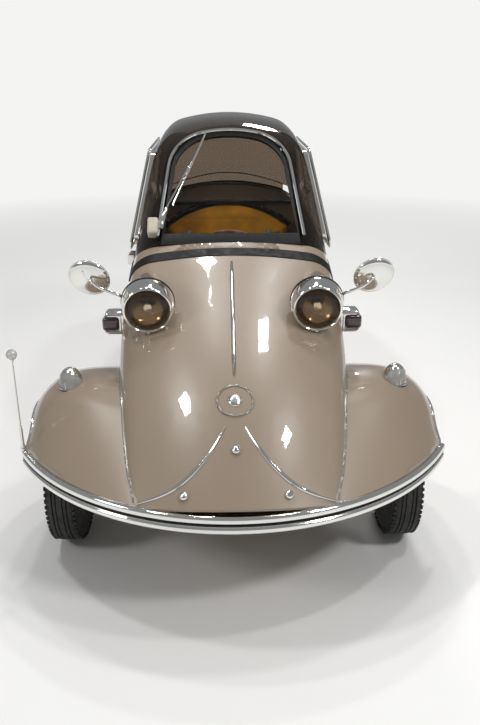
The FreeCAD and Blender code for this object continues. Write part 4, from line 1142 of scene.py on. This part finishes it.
def make_piping(seats):
    """Cream piping along the seams of the maroon seats, and a dark one round the amber back."""
    cream = bmesh.new()
    dark = bmesh.new()
    low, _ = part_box("rear_seat_back")
    least = 0.012
    for bm, node, axis, level in (
            (cream, "front_seat_back", FRONT_FACE, mm(0, 106, 360)),
            (dark, "rear_seat_back", REAR_FACE, low + mm(0, 18, 30)),
            (cream, "front_seat_cushion", Z, mm(0, 0, 400)), (cream, "rear_seat_cushion", Z, mm(0, 0, 372))):
        line = spaced_out(rim_line(node, axis, level, 0.985), least)
        if (line[-1] - line[0]).length < least:
            line.pop()
        tube_bm(bm, line, seats.piping, 10, True, 4)
    piece("seat_piping", cream, "piping_leather")
    piece("rear_back_piping", dark, "black_leather")


def make_shelf():
    """Black roll on the shelf's front edge with a row of bright snap studs."""
    _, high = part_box("rear_seat_back")
    line = rim_line("rear_seat_back", REAR_FACE, Vector((0, high.y - 0.030, high.z - 0.03)))
    arc = sorted((spot for spot in line if spot.z > high.z - 0.125), key=lambda spot: spot.x)
    roll = [spot + Vector((spot.x * 0.03, 0.010, 0.009)) for spot in spaced_out(arc, 0.016)]
    tube("shelf_edge_roll", "black_leather", roll, 0.012, 16)
    path = smooth_line(roll, 6)
    studs = bmesh.new()
    count = 16
    for step in range(count):
        spot = path[int((step + 0.5) / count * (len(path) - 1))]
        spun(studs, ((POLE, -1), (4.6, -1), (5, 1), (4, 3), (2.2, 3.8), (POLE, 4)),
             aimed(spot + Vector((0, -0.0085, 0.0085)), Vector((0, -1, 1))), 16)
    piece("shelf_snap_studs", studs, "chrome_plate", smooth=50)


def make_controls():
    """Steering grips and clamp, dial with its marks and needle, pedal pads, lever knob and floor mat."""
    grips = bmesh.new()
    for side in (1, -1):
        tube_bm(grips, [mm(side * 162, -262, 769), mm(side * 170, -236, 774), mm(side * 178, -198, 786)],
                0.0165, 20)
        for share in (0.2, 0.4, 0.6, 0.8):
            spot = mm(side * (162 + 16 * share), -262 + 64 * share, 769 + 17 * share)
            spun(grips, ((16, -1.5), (18, -1.5), (18.4, 0), (18, 1.5), (16, 1.5)),
                 aimed(spot, Vector((side * 0.2, 1, 0.25))), 24, True)
    piece("steering_grips", grips, "black_moulding", "steering", smooth=45)
    hub = ((POLE, -8), (24, -8), (26, -5), (26, 5), (20, 11), (10, 14), (POLE, 14.6))
    turned("steering_hub", "worn_chrome", ((hub, 40, False),),
           aimed(mm(0, -330, 745), Vector((0, 0.55, 0.6))), "steering", smooth=40)
    face = aimed(mm(0, -604, 710), Y)
    disc = ((POLE, 0.4), (43, 0.4), (43, 1.2), (POLE, 1.4))
    turned("dial_face_disc", "dial_face", ((disc, 48, False),), face, smooth=40)
    rim = ((43, 0), (50, 0), (51, 2), (49, 6), (45, 6.4), (43, 4))
    turned("dial_rim", "chrome_plate", ((rim, 64, True),), face, smooth=40)
    marks = bmesh.new()
    for step in range(13):
        block(marks, mm(-0.7, 35 if step % 2 else 31, 1.3), mm(0.7, 40, 2.0), 0.0002,
              face @ rolled(-120 + 20 * step), 1)
    block(marks, mm(-1.0, -6, 2.2), mm(1.0, 33, 3.0), 0.0003, face @ rolled(118), 1)
    spun(marks, ((POLE, 1.2), (4, 1.2), (3.6, 4), (POLE, 4.4)), face, 20)
    piece("dial_needle_and_marks", marks, "dial_marks")
    pads = bmesh.new()
    for x in (-100, 0, 100):
        block(pads, mm(x - 31, -930.5, 397), mm(x + 31, -923, 463), 0.003)
        for row in range(6):
            block(pads, mm(x - 27, -924, 404 + row * 9.4), mm(x + 27, -921.4, 408 + row * 9.4), 0.0008,
                  None, 1)
    piece("pedal_pads", pads, "seal_rubber", smooth=40)
    lever = bmesh.new()
    ball(lever, moved(270, -290, 615), (20, 20, 22), 32)
    spun(lever, ((8, -20), (11, -20), (11, -14), (8, -10)), aimed(mm(270, -290, 612), mm(-20, -30, 190)),
         24, True)
    piece("gear_lever_knob", lever, "maroon_leather", smooth=60)
    mat = bmesh.new()
    block(mat, mm(-235, -560, 196.5), mm(235, 560, 201), 0.002)
    piece("floor_carpet", mat, "floor_mat")
    ribs = bmesh.new()
    for row in range(14):
        block(ribs, mm(-215, -530 + row * 18, 200.5), mm(215, -522 + row * 18, 203.5), 0.0015, None, 2)
    piece("floor_heel_ribs", ribs, "seal_rubber")


# Running gear and rear

def make_running_gear():
    """Kingpin caps and the track rod's boots."""
    for side, name in ((1, "left"), (-1, "right")):
        body = "knuckle_" + name
        cap = bmesh.new()
        low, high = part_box(body)
        for level, way in ((high.z, Z), (low.z, -Z)):
            spun(cap, ((POLE, -1), (11, -1), (12, 1), (11, 4), (7, 6), (POLE, 6.4)),
                 aimed(Vector((side * 0.425, -0.900, level)), way), 24)
        piece("kingpin_caps_" + name, cap, "worn_chrome", body, smooth=40)
    low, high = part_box("track_rod")
    middle = (low + high) / 2
    boots = bmesh.new()
    for side in (1, -1):
        spun(boots, ((8, -9), (15, -8), (17, -4), (14, -1), (16.4, 2), (13, 5), (14, 8), (9, 10)),
             aimed(Vector((side * (high.x - 0.012), middle.y, middle.z)), X * side), 24, True)
    piece("track_rod_boots", boots, "seal_rubber", "track_rod", smooth=50)


def make_engine():
    """Fins, fan housing and plug on the plain engine block, the silencer's straps and pipe, two springs."""
    low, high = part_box("engine_block")
    middle = (low + high) / 2
    fins = bmesh.new()
    for row in range(9):
        z = high.z - 0.075 + row * 0.008
        block(fins, Vector((low.x - 0.012, low.y + 0.012, z)),
              Vector((high.x + 0.012, high.y - 0.012, z + 0.003)), 0.0012, None, 1)
    side = Vector((high.x, middle.y, middle.z - 0.02))
    spun(fins, ((POLE, -2), (40, -2), (58, 2), (62, 8), (62, 16), (56, 22), (30, 25), (POLE, 26)),
         aimed(side, X), 48)
    bolts(fins, around(aimed(side + X * 0.002, X), 66, 6), 5, 4)
    piece("engine_fins_and_housing", fins, "cast_alloy", smooth=35)
    plug = ((POLE, -2), (12, -2), (12, 4), (8, 6), (8, 12), (6, 14), (5, 24), (POLE, 25))
    turned("engine_plug", "seal_rubber", ((plug, 24, False),), aimed(Vector((middle.x, middle.y, high.z)), Z),
           smooth=40)
    straps = bmesh.new()
    for y in (775, 975):
        spun(straps, ((42.2, -9), (44.6, -9), (45.4, -7.6), (45.4, 7.6), (44.6, 9), (42.2, 9)),
             aimed(mm(170, y, 290), Y), 64, True)
    spun(straps, ((POLE, -3), (30, -3), (38, -1.6), (41.6, 0), (43, 0), (43.4, 3), (42, 5), (POLE, 2)),
         aimed(mm(170, 1030, 290), Y), 48)
    piece("silencer_straps", straps, "bare_steel", smooth=40)
    pipe = ((11, -20), (11, 45), (9.6, 45), (9.6, -20))
    turned("silencer_tailpipe", "exhaust_steel", ((pipe, 32, True),), aimed(mm(186, 1034, 276), Y), smooth=40)
    springs = bmesh.new()
    radius, rise, coils, steps = 0.017, 0.088, 8, 96
    for side in (1, -1):
        line = []
        for step in range(steps + 1):
            turn = math.tau * coils * step / steps
            line.append(Vector((side * 0.070 + radius * math.cos(turn),
                                0.888 - 0.006 * step / steps + radius * math.sin(turn),
                                0.222 + rise * step / steps)))
        tube_bm(springs, line, 0.0034, 8, False, 2)
    piece("rear_springs", springs, "chassis_paint", smooth=50)


def make_rear():
    """Tail lamps with bright rims, a blank plate with its rim, screws and lamp, louvres and a catch."""
    _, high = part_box("tail_lamps")
    rims = bmesh.new()
    lenses = bmesh.new()
    for side in (1, -1):
        place = aimed(Vector((side * 0.150, high.y, 0.470)), Y)
        spun(rims, ((31, -26), (33.5, -26), (34.4, -22), (34.2, -5), (33, -1.4), (30.6, 0), (28.4, -1),
                    (28, -5), (30, -9)), place, 64, True)
        spun(lenses, ((29, -8), (28.6, -2), (27, 2), (22, 5.6), (14, 8), (6, 9), (POLE, 9.2), (POLE, -8)),
             place, 48)
    piece("tail_lamp_rims", rims, "chrome_plate", "engine_cover", ("tail_lamps",), 40)
    piece("tail_lamp_lenses", lenses, "red_lens", "engine_cover", smooth=50)
    low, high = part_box("number_plate")
    plate = bmesh.new()
    block(plate, low, high, 0.001, None, 2)
    piece("plate_blank", plate, "blank_plate", "engine_cover", ("number_plate",), 40)
    rim = bmesh.new()
    corners = ((low.x, low.z), (high.x, low.z), (high.x, high.z), (low.x, high.z))
    tube_bm(rim, rounded_path([Vector((x, high.y - 0.0005, z)) for x, z in corners], 0.010), 0.0024, 12, True)
    for x in (-0.075, 0.075):
        spun(rim, ((POLE, -1), (4, -1), (4, 0.6), (3, 1.8), (POLE, 2)),
             aimed(Vector((x, high.y, high.z - 0.014)), Y), 16)
    block(rim, Vector((-0.032, low.y - 0.012, high.z + 0.004)),
          Vector((0.032, high.y + 0.010, high.z + 0.026)), 0.006)
    piece("plate_rim", rim, "worn_chrome", "engine_cover", smooth=45)
    cover = target("engine_cover")
    louvres = bmesh.new()
    catches = bmesh.new()
    for side in (1, -1):
        for row in range(6):
            place = aimed(*landed(cover, (side * 0.9, 0.800 + row * 0.030, 0.520), X * -side))
            ball(louvres, facing(place, Z) @ moved(0, 0, -1.5), (40, 6.5, 7.5), 24)
        place = aimed(*landed(cover, (side * 0.9, 0.760, 0.400), X * -side))
        spun(catches, ((POLE, -2), (13, -2), (13, 0.6), (10, 3), (5, 4), (5, 9), (POLE, 10)), place, 32)
        block(catches, mm(-3, -16, 8), mm(3, 16, 13), 0.0022, place)
    piece("cover_louvres", louvres, "body_paint", "engine_cover", smooth=60)
    piece("cover_catches", catches, "chrome_plate", "engine_cover", smooth=40)


# Stage

PALE = (0.90, 0.90, 0.89, 1)
# Lamps: name, place, the place it looks at, width and power
LAMPS = (
    ("key", (2.4, -3.0, 3.6), (0, -0.4, 0.4), 0.7, 62),
    ("fill", (-3.2, -2.6, 2.6), (0, 0, 0.5), 0.9, 34),
    ("back", (0.8, 4.0, 3.4), (0, 0, 0.6), 0.9, 50),
    ("top_one", (-1.5, -0.9, 4.4), (0, -0.4, 0.4), 0.35, 34),
    ("top_two", (-0.45, 0.55, 4.6), (0, 0, 0.4), 0.3, 26),
    ("top_three", (0.9, 0.1, 4.5), (0, 0, 0.4), 0.35, 28),
    ("top_four", (0.2, 1.7, 4.4), (0, 0, 0.4), 0.3, 26),
    ("top_five", (1.7, -1.4, 4.2), (0, -0.6, 0.3), 0.3, 26))


def mixed(tree, share, near, far, output):
    """Wire two shaders into an output through a mix."""
    mix = tree.nodes.new("ShaderNodeMixShader")
    for index, source in enumerate((share, near, far)):
        tree.links.new(source, mix.inputs[index])
    tree.links.new(mix.outputs[0], tree.nodes[output].inputs["Surface"])


def make_floor(scene):
    """Pale floor that fades into the background."""
    bm = bmesh.new()
    bmesh.ops.create_grid(bm, x_segments=1, y_segments=1, size=40)
    mesh = bpy.data.meshes.new("studio_floor")
    bm.to_mesh(mesh)
    bm.free()
    ground = Finish("floor_paint", None, (0.86, 0.85, 0.83), 0.6).vary(0.985, 1.0, 1.5, 4)
    reach = ground.node("ShaderNodeVectorMath", operation="LENGTH")
    ground.link(ground.place, reach.inputs[0])
    far = ground.spread(reach.outputs["Value"], 0, 1, 1.9, 5.5)
    glow = ground.node("ShaderNodeEmission", Color=PALE)
    mixed(ground.tree, far, ground.shader.outputs[0], glow.outputs[0], "Material Output")
    mesh.materials.append(ground.material)
    floor = bpy.data.objects.new("studio_floor", mesh)
    scene.collection.objects.link(floor)


def make_world(scene):
    """Pale background that is brighter to the camera than as light on the car."""
    world = bpy.data.worlds.new("studio")
    world.use_nodes = True
    scene.world = world
    tree = world.node_tree
    light = tree.nodes["Background"]
    pale = tree.nodes.new("ShaderNodeBackground")
    for node, tint, strength in ((light, (0.84, 0.87, 0.9, 1), 0.3), (pale, PALE, 1.0)):
        node.inputs["Color"].default_value = tint
        node.inputs["Strength"].default_value = strength
    rays = tree.nodes.new("ShaderNodeLightPath")
    seen = tree.nodes.new("ShaderNodeMath")
    seen.operation = "MAXIMUM"
    tree.links.new(rays.outputs["Is Camera Ray"], seen.inputs[0])
    tree.links.new(rays.outputs["Is Transmission Ray"], seen.inputs[1])
    mixed(tree, seen.outputs[0], light.outputs[0], pale.outputs[0], "World Output")


def make_camera(scene):
    """Camera at the photo's place and angle."""
    # The fitted lens and the picture's height, in pixels
    lens_px, height_px = 757, 725
    pitch, yaw, roll = 0.388, 0.0238, -0.003
    forward = Vector((math.sin(yaw) * math.cos(pitch), math.cos(yaw) * math.cos(pitch), -math.sin(pitch)))
    right = forward.cross(Z).normalized()
    up = right.cross(forward)
    side = right * math.cos(roll) + up * math.sin(roll)
    top = up * math.cos(roll) - right * math.sin(roll)
    eye = bpy.data.cameras.new("photo_view")
    eye.sensor_width = 36
    eye.lens = lens_px / height_px * eye.sensor_width
    camera = bpy.data.objects.new("photo_view", eye)
    scene.collection.objects.link(camera)
    camera.matrix_world = moved(-29.2, -2966, 1412) @ Matrix((side, top, -forward)).transposed().to_4x4()
    scene.camera = camera


def make_stage():
    """Floor, world, small soft lamps and the camera."""
    scene = bpy.context.scene
    scene.view_settings.view_transform = "Standard"
    make_floor(scene)
    make_world(scene)
    for name, place, aim, size, power in LAMPS:
        lamp = bpy.data.lights.new(name, "AREA")
        lamp.shape = "RECTANGLE"
        lamp.size = size
        lamp.size_y = size * 0.7
        lamp.energy = power
        made = bpy.data.objects.new(name, lamp)
        made.location = place
        made.rotation_euler = (Vector(aim) - Vector(place)).to_track_quat("-Z", "Y").to_euler()
        scene.collection.objects.link(made)
    make_camera(scene)


# Operators

class CAR_OT_finishes(bpy.types.Operator):
    """Make the car's finishes and give them to the parts that stay as they are"""
    bl_idname = "car.finishes"
    bl_label = "Finishes"

    def execute(self, context):
        make_finishes(context.scene.car_colours)
        make_finish_nodes()
        return {"FINISHED"}


class CAR_OT_panels(bpy.types.Operator):
    """Smooth painted body panels"""
    bl_idname = "car.panels"
    bl_label = "Body panels"

    def execute(self, context):
        make_panels()
        return {"FINISHED"}


class CAR_OT_front_trim(bpy.types.Operator):
    """Seam beads, bright band, arch lips, strips, ring and studs"""
    bl_idname = "car.front_trim"
    bl_label = "Front trim"

    def execute(self, context):
        trim = context.scene.car_trim
        make_seams(trim)
        make_band()
        make_arches(trim)
        make_nose_trim(trim)
        return {"FINISHED"}


class CAR_OT_lamps(bpy.types.Operator):
    """Headlamps, wing lamps and indicators"""
    bl_idname = "car.lamps"
    bl_label = "Lamps"

    def execute(self, context):
        make_headlamps()
        make_wing_lamps()
        make_indicators()
        return {"FINISHED"}


class CAR_OT_mirrors(bpy.types.Operator):
    """Both mirrors and the marker rod"""
    bl_idname = "car.mirrors"
    bl_label = "Mirrors and marker rod"

    def execute(self, context):
        make_mirrors()
        make_marker_rod()
        return {"FINISHED"}


class CAR_OT_canopy(bpy.types.Operator):
    """Screen rubber, wiper, side window rails, dome skirt and handle"""
    bl_idname = "car.canopy"
    bl_label = "Canopy fittings"

    def execute(self, context):
        make_screen_trim()
        make_wiper()
        make_side_windows()
        make_dome_skirt()
        make_handle()
        return {"FINISHED"}


class CAR_OT_wheels(bpy.types.Operator):
    """Tyres, rims, hub caps and brakes"""
    bl_idname = "car.wheels"
    bl_label = "Wheels"

    def execute(self, context):
        wheels = context.scene.car_wheels
        make_tyres(wheels)
        make_rims(wheels)
        make_hub_caps()
        make_brakes()
        return {"FINISHED"}


class CAR_OT_seats(bpy.types.Operator):
    """Padded seats with their channels and piping"""
    bl_idname = "car.seats"
    bl_label = "Seats"

    def execute(self, context):
        make_seats(context.scene.car_seats)
        return {"FINISHED"}


class CAR_OT_controls(bpy.types.Operator):
    """Shelf, steering grips, dial, pedals, lever and floor mat"""
    bl_idname = "car.controls"
    bl_label = "Cabin fittings"

    def execute(self, context):
        make_shelf()
        make_controls()
        return {"FINISHED"}


class CAR_OT_running_gear(bpy.types.Operator):
    """Kingpin caps, boots, engine fittings and springs"""
    bl_idname = "car.running_gear"
    bl_label = "Running gear"

    def execute(self, context):
        make_running_gear()
        make_engine()
        return {"FINISHED"}


class CAR_OT_rear(bpy.types.Operator):
    """Tail lamps, blank plate, louvres and catches"""
    bl_idname = "car.rear"
    bl_label = "Rear fittings"

    def execute(self, context):
        make_rear()
        return {"FINISHED"}


class CAR_OT_stage(bpy.types.Operator):
    """Floor, lamps, world and camera"""
    bl_idname = "car.stage"
    bl_label = "Stage"

    def execute(self, context):
        make_stage()
        return {"FINISHED"}


class CAR_PT_sidebar(bpy.types.Panel):
    """Lists the car's sizes, colours and build steps"""
    bl_idname = "CAR_PT_sidebar"
    bl_label = "Bubble Car"
    bl_space_type = "VIEW_3D"
    bl_region_type = "UI"
    bl_category = "Bubble Car"

    def draw(self, context):
        layout = self.layout
        for group in SETTINGS:
            box = layout.box()
            settings = getattr(context.scene, group)
            for key in settings.__annotations__:
                box.prop(settings, key)
        for step in STEPS:
            layout.operator(step.bl_idname)


SETTINGS = {"car_colours": CarColours, "car_trim": CarTrim, "car_wheels": CarWheels, "car_seats": CarSeats}
STEPS = (CAR_OT_finishes, CAR_OT_panels, CAR_OT_front_trim, CAR_OT_lamps, CAR_OT_mirrors, CAR_OT_canopy,
         CAR_OT_wheels, CAR_OT_seats, CAR_OT_controls, CAR_OT_running_gear, CAR_OT_rear, CAR_OT_stage)


def register():
    for made in (*SETTINGS.values(), *STEPS, CAR_PT_sidebar):
        bpy.utils.register_class(made)
    for name, group in SETTINGS.items():
        setattr(bpy.types.Scene, name, PointerProperty(type=group))


def unregister():
    for name in SETTINGS:
        delattr(bpy.types.Scene, name)
    for made in reversed((*SETTINGS.values(), *STEPS, CAR_PT_sidebar)):
        bpy.utils.unregister_class(made)


def main():
    register()
    bpy.ops.car.finishes()
    bpy.ops.car.panels()
    bpy.ops.car.front_trim()
    bpy.ops.car.lamps()
    bpy.ops.car.mirrors()
    bpy.ops.car.canopy()
    bpy.ops.car.wheels()
    bpy.ops.car.seats()
    bpy.ops.car.controls()
    bpy.ops.car.running_gear()
    bpy.ops.car.rear()
    bpy.ops.car.stage()


if __name__ == "__main__":
    main()
